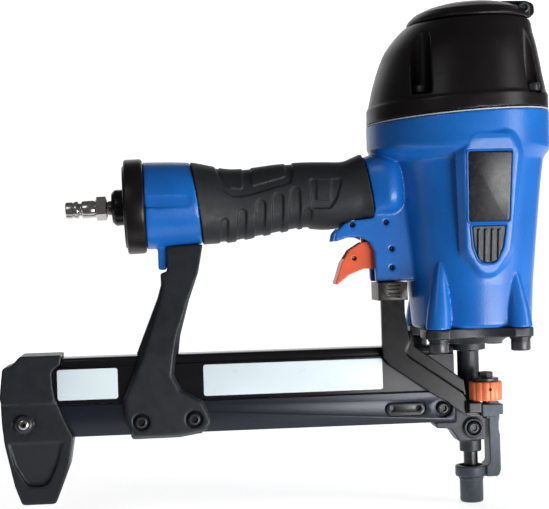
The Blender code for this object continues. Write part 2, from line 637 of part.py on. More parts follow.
def inlet(mats):
    cap = [(9.0, -233.2), (26.0, -233.2), (30.6, -230.0), (32.0, -226.0), (32.0, -221.0),
           (31.0, -219.5), (9.0, -219.5)]
    place("end_cap", turned(cap, axis="X"), mats["cap"], tilt=handle_tilt())
    bush = [(4.6, -241.2), (8.6, -241.2), (11.6, -239.4), (12.2, -236.6), (12.2, -233.5),
            (8.6, -233.5), (8.6, -215.0), (4.6, -215.0)]
    place("inlet_bushing", turned(bush, axis="X"), mats["channel"], tilt=handle_tilt())
    plug = [(2.6, -272.2), (4.1, -272.2), (4.6, -271.4), (4.6, -268.2), (5.7, -267.0),
            (5.7, -263.8), (4.0, -262.6), (4.0, -261.6), (5.5, -260.8), (5.5, -253.0), (5.0, -252.0),
            (7.0, -251.4), (7.0, -244.6), (4.2, -244.0), (4.2, -222.0), (2.6, -222.0)]
    place("air_plug", turned(plug, axis="X", corners=(11, 12)), mats["bright"],
          tilt=handle_tilt())


# ---------------------------------------------------------------- trigger

def trigger_parts(mats):
    for name, (x, z) in (("trigger_pin", TRIGGER_PIN), ("guide_pin", GUIDE_PIN),
                         ("block_pin", BLOCK_PIN), ("valve_pin", VALVE_PIN)):
        pin = [(0, -15.0), (PIN_RADIUS - 0.3, -15.0), (PIN_RADIUS, -14.6), (PIN_RADIUS, 14.6),
               (PIN_RADIUS - 0.3, 15.0), (0, 15.0)]
        place(name, turned(pin, (x, 0, z), axis="Y"), mats["black_steel"])
    valve = [(1.8, 187.6), (4.4, 187.6), (5.2, 188.2), (5.2, 203.0), (1.8, 203.0)]
    place("trigger_valve", turned(valve, (VALVE_X, 0, 0)), mats["bright"])
    stem = [(0, 178.3), (1.1, 178.3), (1.5, 178.8), (1.5, 201.0), (0, 201.0)]
    place("valve_stem", turned(stem, (VALVE_X, 0, 0)), mats["bright"],
          origin=(VALVE_X, 0, 178.3))
    trigger(mats["orange"])
    lever = rounded([(-81.2, 167.2, 2.4), (-75.4, 167.2, 2.0), (-73.6, 172.4, 1), (-61.0, 173.6, 0.8),
                     (-61.0, 175.8, 0.8), (-75.0, 176.0, 3), (-81.4, 172.8, 2.4)], 2)
    arm = place("trigger_lever", prism(lever, -4.6, 4.6), mats["bright"],
                origin=(LEVER_PIN[0], 0, LEVER_PIN[1]))
    cut(arm, turned([(0, -9), (1.6, -9), (1.6, 9), (0, 9)], (LEVER_PIN[0], 0, LEVER_PIN[1]),
                    axis="Y"))
    pin = [(0, -8.7), (1.3, -8.7), (1.3, 8.7), (0, 8.7)]
    place("lever_pin", turned(pin, (LEVER_PIN[0], 0, LEVER_PIN[1]), axis="Y"),
          mats["black_steel"])


def trigger(mat):
    shape = rounded([
        (-64.4, 162.3, 0.8), (-61.0, 170.6, 2), (-48.4, 171.0, 3), (-47.6, 180.0, 3.5),
        (-57.5, 181.6, 2), (-72.7, 180.9, 2), (-81.2, 175.7, 3), (-86.9, 167.1, 4),
        (-89.9, 157.8, 4), (-92.6, 150.4, 1.0), (-87.4, 154.6, 4), (-81.6, 159.0, 4),
        (-71.6, 162.8, 3),
    ], 2)
    body = place("trigger", prism(shape, -8.6, 8.6), mat,
                 origin=(TRIGGER_PIN[0], 0, TRIGGER_PIN[1]))
    hollow = [(-84.6, 167.0), (-86.0, 185.0), (-40.0, 185.0), (-40.0, 150.0), (-67.0, 150.0),
              (-67.0, 165.6), (-72.0, 166.0), (-80.0, 162.6)]
    cut(body, prism(hollow, -6.2, 6.2))
    cut(body, turned([(0, -9), (PIN_RADIUS + GAP, -9), (PIN_RADIUS + GAP, 9), (0, 9)],
                     (TRIGGER_PIN[0], 0, TRIGGER_PIN[1]), axis="Y"))
    cut(body, turned([(0, -9), (1.6, -9), (1.6, 9), (0, 9)], (LEVER_PIN[0], 0, LEVER_PIN[1]),
                     axis="Y"))
    return body


# ---------------------------------------------------------------- contact safety

def arm_guide(mats):
    """Ribbed guide box under the trigger block, hung on the guide pin."""
    outer = box((-64.4, -42.2), (-20.6, 9.0), (141.0, 153.2))
    body = place("arm_guide", outer, mats["moulded"])
    cut(body, box((-63.1, -43.2), (-19.0, 7.4), (130.0, 160.0)))
    ear = rounded([(-57.6, 148.0, 0), (-49.0, 148.0, 0), (-49.0, 166.8, 3.4), (-57.6, 166.8, 3.4)])
    weld(body, prism(ear, 7.0, 8.7))
    weld(body, box((-64.4, -42.2), (7.2, 9.0), (141.0, 152.0)))
    cut(body, turned([(0, -30), (PIN_RADIUS + GAP, -30), (PIN_RADIUS + GAP, 30), (0, 30)],
                     (GUIDE_PIN[0], 0, GUIDE_PIN[1]), axis="Y"))
    ribs = [(-60.6, 143.6), (-56.0, 148.2), (-51.4, 143.6), (-46.8, 148.2)]
    for x, z in ribs:
        cut(body, box((x - 1.2, x + 1.2), (-24.0, -20.0), (z - 1.4, z + 2.4)))


def safety_arm(mats):
    """Pressed arm from the trigger down the side of the magazine to the depth wheel."""
    lower = rounded([
        (-62.4, 143.4, 0), (-43.9, 143.4, 0), (-43.9, 132.0, 4), (-42.2, 114.0, 6),
        (-47.6, 104.6, 6), (-8.0, 76.6, 1), (-4.8, 70.8, 0), (2.9, 70.8, 0), (2.9, 60.8, 0),
        (-5.6, 60.8, 5), (-14.0, 66.6, 2), (-19.5, 71.6, 4), (-24.5, 73.8, 4), (-57.6, 97.0, 6),
        (-62.4, 104.0, 10),
    ], 3)
    body = place("safety_arm", prism(lower, -18.4, -14.4), mats["black_steel"])
    upper = rounded([(-47.5, 120.0, 0), (-41.8, 120.0, 0), (-40.2, 109.6, 4), (-6.8, 85.6, 0),
                     (-5.4, 74.6, 0), (-48.0, 103.0, 0)], 3)
    weld(body, prism(upper, -16.6, -14.4))
    weld(body, box((-62.0, -46.0), (-18.2, 4.0), (141.6, 143.6)))
    weld(body, box((-62.0, -59.2), (-4.0, 4.0), (141.6, 166.4)))
    tab = box((-8.6, 2.9), (-26.4, -14.4), (60.8, 70.8))
    weld(body, tab)


def contact_parts(mats):
    x, y = WHEEL
    ring = [(8.1, 17.7), (10.2, 17.7), (10.9, 18.6), (10.9, 24.6), (10.4, 25.2), (8.1, 25.2)]
    bracket = place("safety_bracket", turned(ring), mats["grey_steel"])
    bar = rounded([(9.2, 17.7, 0), (17.6, 17.7, 2.0), (19.2, 22.0, 2), (19.2, 69.2, 0.8),
                   (11.6, 69.2, 0), (11.6, 27.5, 2), (9.2, 25.2, 0)], 2)
    weld(bracket, prism(bar, -8.0, 8.0))
    cut(bracket, turned([(0, 10), (8.1, 10), (8.1, 30), (0, 30)]))
    weld(bracket, box((11.6, 19.2), (-25.6, -7.0), (62.2, 69.2)))
    weld(bracket, box((3.2, 12.6), (-25.6, -10.9), (61.0, 69.2)))
    cut(bracket, turned([(0, 50), (2.9, 50), (2.9, 80), (0, 80)], (x, y, 0)))
    nozzle = [(5.3, 0.0), (7.0, 0.0), (8.0, 1.2), (8.0, 15.4), (8.3, 15.8), (8.3, 17.4), (7.7, 17.4),
              (7.7, 23.0), (5.3, 23.0)]
    place("contact_nozzle", turned(nozzle), mats["grey_steel"])
    stud = [(0, 59.0), (2.5, 59.0), (2.5, 86.9), (4.6, 86.9), (4.6, 90.6), (0, 90.6)]
    place("adjust_stud", turned(stud, (x, y, 0), corners=(3, 4)),
          mats["black_steel"])
    washer = [(2.9, 84.6), (8.9, 84.6), (8.9, 86.6), (2.9, 86.6)]
    place("stud_washer", turned(washer, (x, y, 0)), mats["black_steel"])
    depth_wheel(mats["wheel"], x, y)


def depth_wheel(mat, x, y):
    """Knurled thumb wheel that sets how deep the nail goes."""
    teeth = 24
    ridge = []
    for i in range(teeth * 2):
        a = math.pi * i / teeth
        r = 11.2 - (0.5 if i % 2 else 0.0)
        ridge.append((x + r * math.cos(a), y + r * math.sin(a)))
    wheel = place("depth_wheel", prism(ridge, 71.6, 84.2, "Z"), mat, origin=(x, y, 71.6))
    cut(wheel, turned([(0, 60), (2.9, 60), (2.9, 95), (0, 95)], (x, y, 0)))


def main():
    clear_scene()
    mats = finishes()
    housing(mats["paint"])
    nameplates(mats)
    head_parts(mats)
    drive_parts(mats)
    nose(mats)
    magazine(mats)
    magazine_bracket(mats)
    boot(mats)
    grip(mats)
    inlet(mats)
    trigger_parts(mats)
    arm_guide(mats)
    safety_arm(mats)
    contact_parts(mats)


main()
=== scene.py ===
"""Looks of the pneumatic concrete nailer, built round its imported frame.

Shapes are in millimetres in the tool's own frame: X forward from the driving axis, Y sideways
(the nameplate side is -Y), Z up from the tip of the contact nozzle. AXIS_X, read from the frame,
moves them onto the frame's origin.
"""

import math

import bmesh
import bpy
from mathutils import Matrix, Vector


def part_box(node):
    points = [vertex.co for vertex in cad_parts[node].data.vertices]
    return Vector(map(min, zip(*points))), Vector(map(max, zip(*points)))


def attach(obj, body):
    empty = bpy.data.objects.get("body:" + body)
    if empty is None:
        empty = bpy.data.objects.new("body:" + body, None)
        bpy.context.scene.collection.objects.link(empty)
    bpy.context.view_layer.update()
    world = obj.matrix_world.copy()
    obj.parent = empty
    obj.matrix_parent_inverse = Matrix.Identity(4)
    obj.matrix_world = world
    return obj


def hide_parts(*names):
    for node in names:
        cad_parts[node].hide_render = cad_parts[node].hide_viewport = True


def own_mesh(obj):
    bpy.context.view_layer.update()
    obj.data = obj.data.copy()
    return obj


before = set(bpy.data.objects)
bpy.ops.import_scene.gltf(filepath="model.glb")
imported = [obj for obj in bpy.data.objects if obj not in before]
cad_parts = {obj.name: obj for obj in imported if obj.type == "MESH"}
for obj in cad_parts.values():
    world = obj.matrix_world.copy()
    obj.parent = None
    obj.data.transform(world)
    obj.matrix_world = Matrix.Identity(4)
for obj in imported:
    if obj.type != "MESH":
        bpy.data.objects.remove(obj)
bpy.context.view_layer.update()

MM = 0.001
GAP = 0.3  # clearance between pieces that touch
NOZZLE_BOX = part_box("contact_nozzle")
AXIS_X = (NOZZLE_BOX[0].x + NOZZLE_BOX[1].x) / 2  # driving axis in the frame, metres

# Barrel of the housing: height, centre ahead of the driving axis, radius
BARREL = [
    (121.3, 3.4, 39.6), (123.3, 3.4, 41.0), (150.0, 3.0, 42.8), (205.0, 3.0, 48.4),
    (231.0, 2.0, 52.6), (236.0, 0.5, 55.6), (241.0, -2.0, 61.6), (245.0, -2.85, 62.85),
]
SEAM_Z = 264.2  # where housing and head cap meet, on the driving axis
SEAM_SLOPE = 0.06
CROWN_SLOPE = 0.025  # the cap's flat top leans less than the seam
BAND_CENTRE = -2.85
BAND_RADIUS = 62.85  # widest part of the tool
# Head cap: height above the seam, centre, radius
CAP = [
    (0.0, -2.85, 62.4), (10.0, -2.75, 62.2), (11.0, -2.75, 61.2), (24.0, -2.4, 58.4),
    (37.0, -1.2, 55.2), (47.0, 0.2, 52.0), (55.0, 2.4, 48.0), (61.0, 5.0, 44.6), (63.5, 6.5, 42.4),
]
CAP_SCREWS = [(x, y) for y in (-39.0, 39.0) for x in (-34.8, 39.8)]
CAP_SCREW_SEAT = 276.6
BASE_SCREWS = [(x, y) for y in (-37.0, 37.0) for x in (-27.6, 27.6)]
BASE_Z = 121.3

HANDLE_Z = 209.3  # height of the handle's axis at HANDLE_X
HANDLE_X = -225.0
HANDLE_RISE = 0.030
CORE_RADIUS = 15.0

BLOCK_HALF = 14.5  # trigger block
SLOT_HALF = 9.2
PINS = {
    "trigger_pin": (-53.1, 0, 175.7), "guide_pin": (-53.3, 0, 162.9),
    "block_pin": (-56.6, 0, 193.7), "valve_pin": (-79.6, 0, 192.6),
}
LEVER_PIN = (-78.2, 0, 169.9)
VALVE_X = -71.0

# Side screws: the middle of each seat
SIDE_SCREWS = {
    "nose_screw": (0.2, -9.1, 51.9), "magazine_screw": (-20.8, -10.3, 66.3),
    "bracket_screw_1": (-225.2, -14.7, 65.3), "bracket_screw_2": (-190.0, -14.7, 66.0),
}

MAGAZINE_HALF = 12.5
MAGAZINE_Z = (56.8, 78.3, 109.0)
MAGAZINE_X = (-297.0, -12.5)
WHEEL = (7.6, -17.6)
PAD_Z = 172.0  # lower corner of the nameplate's pad, PAD_OUT from the middle plane
PAD_OUT = 48.9
PAD_SLOPE = 0.19
BOOT_BOLT = (-302.4, 0, 67.0)


# ---------------------------------------------------------------- outlines and solids

def rounded(points, steps=6):
    """Outline from corners (x, z, radius), each corner turned by an arc of that radius."""
    out = []
    for i, (x, z, r) in enumerate(points):
        here = Vector((x, z))
        if not r:
            out.append(here)
            continue
        a = (Vector(points[i - 1][:2]) - here).normalized()
        b = (Vector(points[(i + 1) % len(points)][:2]) - here).normalized()
        half = a.angle(b) / 2
        reach = r / math.tan(half)
        centre = here + (a + b).normalized() * (r / math.sin(half))
        start, end = here + a * reach - centre, here + b * reach - centre
        sweep = start.angle_signed(end)
        for k in range(steps + 1):
            turn = -sweep * k / steps
            c, s = math.cos(turn), math.sin(turn)
            out.append(centre + Vector((start.x * c - start.y * s, start.x * s + start.y * c)))
    return out


def pill(x, z, length, height, steps=12):
    """Outline with straight long sides and round ends."""
    r = height / 2
    points = []
    for side in (1, -1):
        for k in range(steps + 1):
            a = side * math.pi / 2 - math.pi * k / steps
            points.append((x + side * (length / 2 - r) + r * math.cos(a), z + r * math.sin(a)))
    return points


def leaning_slot(x, low, high, width, lean=0.05, steps=10):
    """Outline of an upright slot with a round top, leaning forward by lean per mm."""
    r = width / 2
    top = [(x + r * math.cos(a), high - r + r * math.sin(a))
           for a in (math.pi * k / steps for k in range(steps + 1))]
    return [(u + lean * (z - low), z) for u, z in top + [(x - r, low), (x + r, low)]]


def loft(rings, closed=False):
    """Solid through rings of equal length; closed joins the last ring to the first."""
    mesh = bmesh.new()
    rows = [[mesh.verts.new(p) for p in ring] for ring in rings]
    pairs = list(zip(rows, rows[1:])) + ([(rows[-1], rows[0])] if closed else [])
    for low, high in pairs:
        for i in range(len(low)):
            j = (i + 1) % len(low)
            mesh.faces.new((low[i], low[j], high[j], high[i]))
    if not closed:
        mesh.faces.new(rows[0])
        mesh.faces.new(rows[-1])
    bmesh.ops.recalc_face_normals(mesh, faces=mesh.faces)
    return mesh


def prism(outline, low, high, axis="Y"):
    """Solid of an outline pushed along Y (outline in X, Z), X (in Y, Z) or Z (in X, Y)."""
    spot = {
        "Y": lambda p, t: Vector((p[0], t, p[1])),
        "X": lambda p, t: Vector((t, p[0], p[1])),
        "Z": lambda p, t: Vector((p[0], p[1], t)),
    }[axis]
    return loft([[spot(p, t) for p in outline] for t in (low, high)])


def box(x, y, z):
    return prism([(x[0], z[0]), (x[1], z[0]), (x[1], z[1]), (x[0], z[1])], *y)


def circle(radius, sides, corners=0):
    """Points round a circle, or round a hexagon whose flats are radius from the centre."""
    points = []
    for i in range(sides):
        a = 2 * math.pi * i / sides
        r = radius
        if corners:
            sector = 2 * math.pi / corners
            r = radius / math.cos((a + sector / 2) % sector - sector / 2)
        points.append((r * math.cos(a), r * math.sin(a)))
    return points


def level_ring(radius, x, z, lean=0.0, y=0.0, sides=128):
    """Ring about the vertical at (x, y), rising forward by lean per mm."""
    return [Vector((x + u, y + v, z + lean * (x + u))) for u, v in circle(radius, sides)]


def turned(profile, centre=(0, 0, 0), axis="Z", sides=64, corners=()):
    """Solid turned from (radius, height) pairs; corners lists the points with a hexagon ring."""
    origin = Vector(centre)
    rings = []
    for k, (radius, height) in enumerate(profile):
        ring = []
        for u, v in circle(max(radius, 0.01), sides, 6 if k in corners else 0):
            local = {"Z": (u, v, height), "X": (height, u, v), "Y": (v, height, u)}[axis]
            ring.append(origin + Vector(local))
        rings.append(ring)
    solid = loft(rings, closed=min(profile[0][0], profile[-1][0]) > 0)
    bmesh.ops.remove_doubles(solid, verts=solid.verts, dist=0.02)
    bmesh.ops.recalc_face_normals(solid, faces=solid.faces)
    return solid


def rod(radius, low, high, centre=(0, 0, 0), axis="Z", sides=64):
    """Plain cylinder, used as a drill or a shaft."""
    return turned([(0, low), (radius, low), (radius, high), (0, high)], centre, axis, sides)


def spline_rows(rows, per=5):
    """More rows on a smooth curve through the given ones."""
    out = []
    for i in range(len(rows) - 1):
        p = [rows[max(i - 1, 0)], rows[i], rows[i + 1], rows[min(i + 2, len(rows) - 1)]]
        for k in range(per):
            t = k / per
            w = ((-t + 2 * t * t - t ** 3) / 2, (2 - 5 * t * t + 3 * t ** 3) / 2,
                 (t + 4 * t * t - 3 * t ** 3) / 2, (-t * t + t ** 3) / 2)
            out.append(tuple(sum(a * q[n] for a, q in zip(w, p)) for n in range(len(rows[0]))))
    return out + [tuple(rows[-1])]


def oval_x(x, z, height, width, lean=0.0, sides=96, power=2.4):
    """Ring of a rounded section across X, leaning forward towards its foot by lean per mm."""
    ring = []
    for i in range(sides):
        a = 2 * math.pi * i / sides
        c, s = math.cos(a), math.sin(a)
        v = math.copysign(abs(c) ** (2 / power), c) * width / 2
        h = math.copysign(abs(s) ** (2 / power), s) * height / 2
        ring.append(Vector((x + lean * h, v, z + h)))
    return ring


def round_sections(sections, seam, crown):
    """Solid through circles at (height, centre x, radius), leaning from seam to crown per mm."""
    low, high = sections[0][0], sections[-1][0]
    rings = []
    for z, x, r in sections:
        lean = seam + (crown - seam) * (z - low) / (high - low)
        rings.append(level_ring(r, x, z, lean))
    return loft(rings)


def bead(outline, depth, radius, sides=8):
    """Round bead that follows a closed outline (x, z) at a constant depth y."""
    count = len(outline)
    rings = []
    for i in range(count):
        here = Vector(outline[i])
        along = (Vector(outline[(i + 1) % count]) - Vector(outline[i - 1])).normalized()
        across = Vector((along.y, -along.x))
        ring = []
        for k in range(sides):
            a = 2 * math.pi * k / sides
            p = here + across * (radius * math.cos(a))
            ring.append(Vector((p.x, depth + radius * math.sin(a), p.y)))
        rings.append(ring)
    return loft(rings, closed=True)


def moved(solid, matrix):
    bmesh.ops.transform(solid, matrix=matrix, verts=solid.verts)
    return solid


def handle_z(x):
    return HANDLE_Z + HANDLE_RISE * (x - HANDLE_X)


def handle_tilt():
    """Turns a shape made along the X axis onto the handle's axis."""
    turn = Matrix.Rotation(-math.atan(HANDLE_RISE), 4, "Y")
    return Matrix.Translation((0, 0, handle_z(0))) @ turn


def on_handle(solid):
    return moved(solid, handle_tilt())


def pad_depth(z):
    """How far the nameplate pad's face stands from the middle plane at a height."""
    return PAD_OUT + PAD_SLOPE * (z - PAD_Z)


def pad_tilt(side=-1):
    """Turns a thin plate made in the XZ plane at Y = 0, facing -Y, onto the pad of that side."""
    turn = Matrix.Rotation(math.atan(PAD_SLOPE), 4, "X")
    lay = Matrix.Translation((0, -PAD_OUT, PAD_Z)) @ turn
    return lay if side < 0 else Matrix.Scale(-1, 4, (0, 1, 0)) @ lay


# ---------------------------------------------------------------- objects

def scratch(solid):
    """Working object that holds one solid, in millimetres."""
    mesh = bpy.data.meshes.new("solid")
    solid.to_mesh(mesh)
    solid.free()
    obj = bpy.data.objects.new("solid", mesh)
    bpy.context.scene.collection.objects.link(obj)
    return obj


def bake_modifiers(obj):
    bpy.context.view_layer.update()
    graph = bpy.context.evaluated_depsgraph_get()
    mesh = bpy.data.meshes.new_from_object(obj.evaluated_get(graph))
    obj.modifiers.clear()
    obj.data = mesh
    return obj


def solid_of(obj):
    """Takes the solid back out of an object, which goes."""
    solid = bmesh.new()
    solid.from_mesh(obj.data)
    bpy.data.objects.remove(obj)
    return solid


def shape(solids, cuts=(), cores=(), keep=(), voxel=0.0, smooth=0, bevel=0.0, limit=40):
    """One object from solids welded together, less the cuts, plus the cores, then softened.

    Only what lies inside every solid of keep stays.
    voxel and smooth round all edges as on a casting; bevel only breaks the sharp ones.
    """
    obj = scratch(solids[0])
    used = []
    steps = [(s, "UNION") for s in solids[1:]]
    steps += [(c, "DIFFERENCE") for c in cuts]
    steps += [(c, "UNION") for c in cores]
    steps += [(k, "INTERSECT") for k in keep]
    for solid, operation in steps:
        tool = scratch(solid)
        tool.hide_render = True
        modifier = obj.modifiers.new(operation, "BOOLEAN")
        modifier.operation = operation
        modifier.object = tool
        modifier.solver = "EXACT"
        used.append(tool)
    if voxel:
        modifier = obj.modifiers.new("remesh", "REMESH")
        modifier.mode = "VOXEL"
        modifier.voxel_size = voxel
    if smooth:
        modifier = obj.modifiers.new("smooth", "SMOOTH")
        modifier.factor = 0.5
        modifier.iterations = smooth
    if bevel:
        modifier = obj.modifiers.new("bevel", "BEVEL")
        modifier.width = bevel
        modifier.limit_method = "ANGLE"
        modifier.angle_limit = math.radians(limit)
        modifier.segments = 3
        modifier.use_clamp_overlap = True
    bake_modifiers(obj)
    for tool in used:
        bpy.data.objects.remove(tool)
    return obj


def piece(name, obj, look, body="tool", nodes=(), sharp=40):
    """Names the object, puts it in the frame, finishes it and makes it ride on its body.
    """
    obj.name = name
    obj.data.name = name
    obj.data.transform(Matrix.Translation((AXIS_X, 0, 0)) @ Matrix.Scale(MM, 4))
    obj.data.materials.clear()
    obj.data.materials.append(LOOKS[look])
    obj.data.shade_smooth()
    obj.data.set_sharp_from_angle(angle=math.radians(sharp))
    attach(obj, body)
    if nodes:
        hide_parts(*nodes)
    return obj


# ---------------------------------------------------------------- materials

class Nodes:
    """A material and its shader nodes. Names of inputs are written with _ for a space."""

    def __init__(self, name):
        self.material = bpy.data.materials.new(name)
        self.material.use_nodes = True
        self.tree = self.material.node_tree
        self.coords = self.add("TexCoord", "Object")

    def fill(self, node, inputs):
        for name, value in inputs.items():
            socket = node.inputs[name.replace("_", " ")]
            if isinstance(value, bpy.types.NodeSocket):
                self.tree.links.new(value, socket)
            else:
                socket.default_value = value

    def add(self, kind, output, **inputs):
        """Adds a node, sets or links its inputs and gives back one of its outputs."""
        node = self.tree.nodes.new("ShaderNode" + kind)
        self.fill(node, inputs)
        return node.outputs[output]

    def set(self, **inputs):
        self.fill(self.tree.nodes["Principled BSDF"], inputs)

    def noise(self, size, detail=3.0, stretch=(1, 1, 1)):
        """Noise whose grains are size millimetres across, stretched along each axis."""
        vector = self.add("Mapping", "Vector", Vector=self.coords, Scale=[1 / s for s in stretch])
        return self.add("TexNoise", "Fac", Vector=vector, Scale=1 / (size * MM), Detail=detail,
                        Roughness=0.55)

    def cells(self, size):
        """Distance from the middle of irregular cells, size millimetres across."""
        return self.add("TexVoronoi", "Distance", Vector=self.coords, Scale=1 / (size * MM))

    def ramp(self, value, low, high, start=0.3, end=0.7):
        """Colour that goes from low to high as value goes from start to end."""
        output = self.add("ValToRGB", "Color", Fac=value)
        stops = output.node.color_ramp.elements
        for stop, position, colour in zip(stops, (start, end), (low, high)):
            stop.position = position
            stop.color = (*colour, 1)
        return output

    def span(self, value, low, high, start=0.3, end=0.7):
        """Number that goes from low to high as value goes from start to end."""
        return self.add("MapRange", "Result", Value=value, From_Min=start, From_Max=end,
                        To_Min=low, To_Max=high)

    def mix(self, share, a, b, blend="MIX"):
        node = self.tree.nodes.new("ShaderNodeMix")
        node.data_type = "RGBA"
        node.blend_type = blend
        self.fill(node, {"Factor": share, "A": a, "B": b})
        return node.outputs["Result"]

    def bump(self, height, depth, **before):
        """Relief of depth millimetres, laid over the relief Normal if one is given."""
        return self.add("Bump", "Normal", Strength=1.0, Distance=depth * MM, Height=height,
                        **before)


def shade(colour, factor):
    return tuple(min(1.0, c * factor) for c in colour)


def surface(name, colour, rough, metal=0.0, mottle=(14.0, 0.12), grain=(0.8, 0.02), spread=0.08,
            stretch=(1, 1, 1), edge=None, **fixed):
    """Material with slow colour variation, uneven gloss, a fine grain and, if edge, worn edges.

    mottle is the patches' size and contrast, grain the size and depth of the relief.
    """
    n = Nodes(name)
    size, contrast = mottle
    tint = n.ramp(n.noise(size, stretch=stretch), shade(colour, 1 - contrast),
                  shade(colour, 1 + contrast))
    if edge:
        bare, share = edge
        ridge = n.add("NewGeometry", "Pointiness")
        tint = n.mix(n.span(ridge, 0.0, share, 0.53, 0.60), tint, (*bare, 1))
    gloss = n.noise(size * 0.37, detail=4.0, stretch=stretch)
    relief = n.bump(n.noise(grain[0], detail=2.0, stretch=stretch), grain[1])
    n.set(Base_Color=tint, Roughness=n.span(gloss, rough - spread, rough + spread), Normal=relief,
          Metallic=metal, **fixed)
    return n.material


def powder_paint():
    """Satin azure powder coat: orange peel under a finer grain, and a fine speckle."""
    n = Nodes("azure_powder_coat")
    speckle = n.noise(0.45, detail=1.0)
    base = n.ramp(n.noise(30.0), (0.0045, 0.118, 0.46), (0.006, 0.146, 0.54))
    light = n.ramp(speckle, (0.0, 0.0, 0.0), (0.03, 0.07, 0.12), 0.62, 0.78)
    peel = n.bump(n.noise(1.5, detail=1.5), 0.085)
    n.set(Base_Color=n.mix(n.span(speckle, 0.0, 1.0, 0.0, 1.0), base, light, "ADD"),
          Roughness=n.span(n.noise(1.6), 0.27, 0.37),
          Normal=n.bump(n.noise(0.4, detail=1.0), 0.012, Normal=peel),
          Metallic=0.0, Coat_Weight=0.1, Coat_Roughness=0.22, Specular_IOR_Level=0.42)
    return n.material


def moulded_rubber():
    """Dark soft rubber with a fine leather grain, a little paler where it is handled."""
    n = Nodes("grip_rubber")
    leather = n.bump(n.cells(0.55), 0.05)
    n.set(Base_Color=n.ramp(n.noise(22.0), (0.0085, 0.0095, 0.0115), (0.014, 0.0155, 0.019),
                            0.3, 0.72),
          Roughness=n.span(n.noise(5.0), 0.46, 0.60),
          Normal=n.bump(n.noise(0.3, detail=1.0), 0.02, Normal=leather),
          Sheen_Weight=0.05, Sheen_Roughness=0.45, Specular_IOR_Level=0.35)
    return n.material


def looks():
    """One material for each slot of the record, and two that only the photo asks for."""
    return {
        "paint": powder_paint(),
        "cap_plastic": surface("black_moulding", (0.0062, 0.0045, 0.0052), 0.34,
                               mottle=(28.0, 0.15), grain=(0.7, 0.012), spread=0.04,
                               Specular_IOR_Level=0.28),
        "seal": surface("gasket_paper", (0.50, 0.55, 0.62), 0.5, grain=(0.5, 0.03)),
        "black_steel": surface("black_oxide", (0.0125, 0.0125, 0.0145), 0.32, metal=0.2,
                               mottle=(6.0, 0.25), grain=(0.35, 0.010), spread=0.06,
                               edge=((0.07, 0.07, 0.08), 0.6)),
        "bright_steel": surface("bright_zinc", (0.56, 0.54, 0.53), 0.20, metal=1.0,
                                mottle=(5.0, 0.10), grain=(0.4, 0.006), spread=0.07),
        "rubber": moulded_rubber(),
        "nylon": surface("natural_nylon", (0.55, 0.50, 0.40), 0.45, mottle=(9.0, 0.06)),
        "cast_alloy": surface("dark_cast_alloy", (0.030, 0.034, 0.040), 0.42, metal=0.3,
                              mottle=(7.0, 0.2), grain=(0.6, 0.03), spread=0.06,
                              edge=((0.10, 0.11, 0.125), 0.5)),
        "channel": surface("gloss_black_steel", (0.010, 0.009, 0.011), 0.20, metal=0.35,
                           mottle=(18.0, 0.2), grain=(0.5, 0.008), spread=0.05,
                           stretch=(9, 1, 1), Specular_IOR_Level=0.35),
        "rail": surface("blued_rail", (0.0125, 0.0155, 0.025), 0.30, metal=0.35,
                        mottle=(1.2, 0.06), grain=(0.2, 0.0015), spread=0.03,
                        stretch=(30, 1, 1)),
        "grey_steel": surface("grey_phosphate", (0.052, 0.063, 0.078), 0.46, metal=0.3,
                              mottle=(3.0, 0.14), grain=(0.3, 0.018), spread=0.05,
                              edge=((0.16, 0.18, 0.21), 0.5)),
        "label": surface("label_film", (0.70, 0.80, 0.84), 0.30, mottle=(40.0, 0.03),
                         grain=(1.5, 0.006), spread=0.05),
        "plate": surface("black_plate", (0.007, 0.007, 0.011), 0.26, mottle=(12.0, 0.1),
                         grain=(0.6, 0.006), spread=0.04, Specular_IOR_Level=0.3),
        "moulded_plastic": surface("charcoal_moulding", (0.0115, 0.0140, 0.0185), 0.42,
                                   mottle=(16.0, 0.15), grain=(0.5, 0.03), spread=0.06,
                                   Specular_IOR_Level=0.35),
        "orange_plastic": surface("orange_moulding", (0.78, 0.105, 0.032), 0.36,
                                  mottle=(12.0, 0.06), grain=(0.5, 0.015), spread=0.05),
        "wheel": surface("orange_anodised", (0.78, 0.185, 0.075), 0.38, metal=0.15,
                         mottle=(4.0, 0.08), grain=(0.3, 0.015), spread=0.06),
        "arm": surface("black_pressing", (0.0032, 0.0032, 0.0045), 0.24, metal=0.0,
                       mottle=(12.0, 0.2), grain=(0.5, 0.003), spread=0.03,
                       Specular_IOR_Level=0.4),
        "guide": surface("brown_black_moulding", (0.0125, 0.007, 0.0065), 0.36,
                         mottle=(5.0, 0.2), grain=(0.4, 0.02), spread=0.06),
    }


LOOKS = looks()


# ---------------------------------------------------------------- housing

def barrel():
    widest = BAND_RADIUS - 0.2
    rings = [level_ring(min(r, widest), x, z)
             for z, x, r in BARREL[:2] + spline_rows(BARREL[2:], 5)]
    return loft(rings + [level_ring(widest, BAND_CENTRE, SEAM_Z - 0.7, SEAM_SLOPE)])


def neck():
    """Root of the handle, a boss with flat cheeks that swells into the barrel."""
    rows = [(-66.8, 217.6, 42, 40, -0.17), (-60, 219.4, 43, 46, -0.12),
            (-55, 219.8, 43.4, 49, 0), (-50, 219.8, 42, 47, 0),
            (-46, 219.8, 38, 40, 0), (-41, 219.8, 30, 24, 0)]
    return loft([oval_x(x, z, h, w, lean, power=3) for x, z, h, w, lean in spline_rows(rows, 4)])


def rear_drum():
    return loft([oval_x(x, handle_z(x), r, r, lean, power=2) for x, r, lean in (
        (-219, 57.6, -HANDLE_RISE), (-218.2, 58.8, -HANDLE_RISE), (-216, 59, -HANDLE_RISE),
        (-200, 57.6, -0.05), (-185.6, 55.6, -0.13), (-184.1, 54.6, -0.136))])


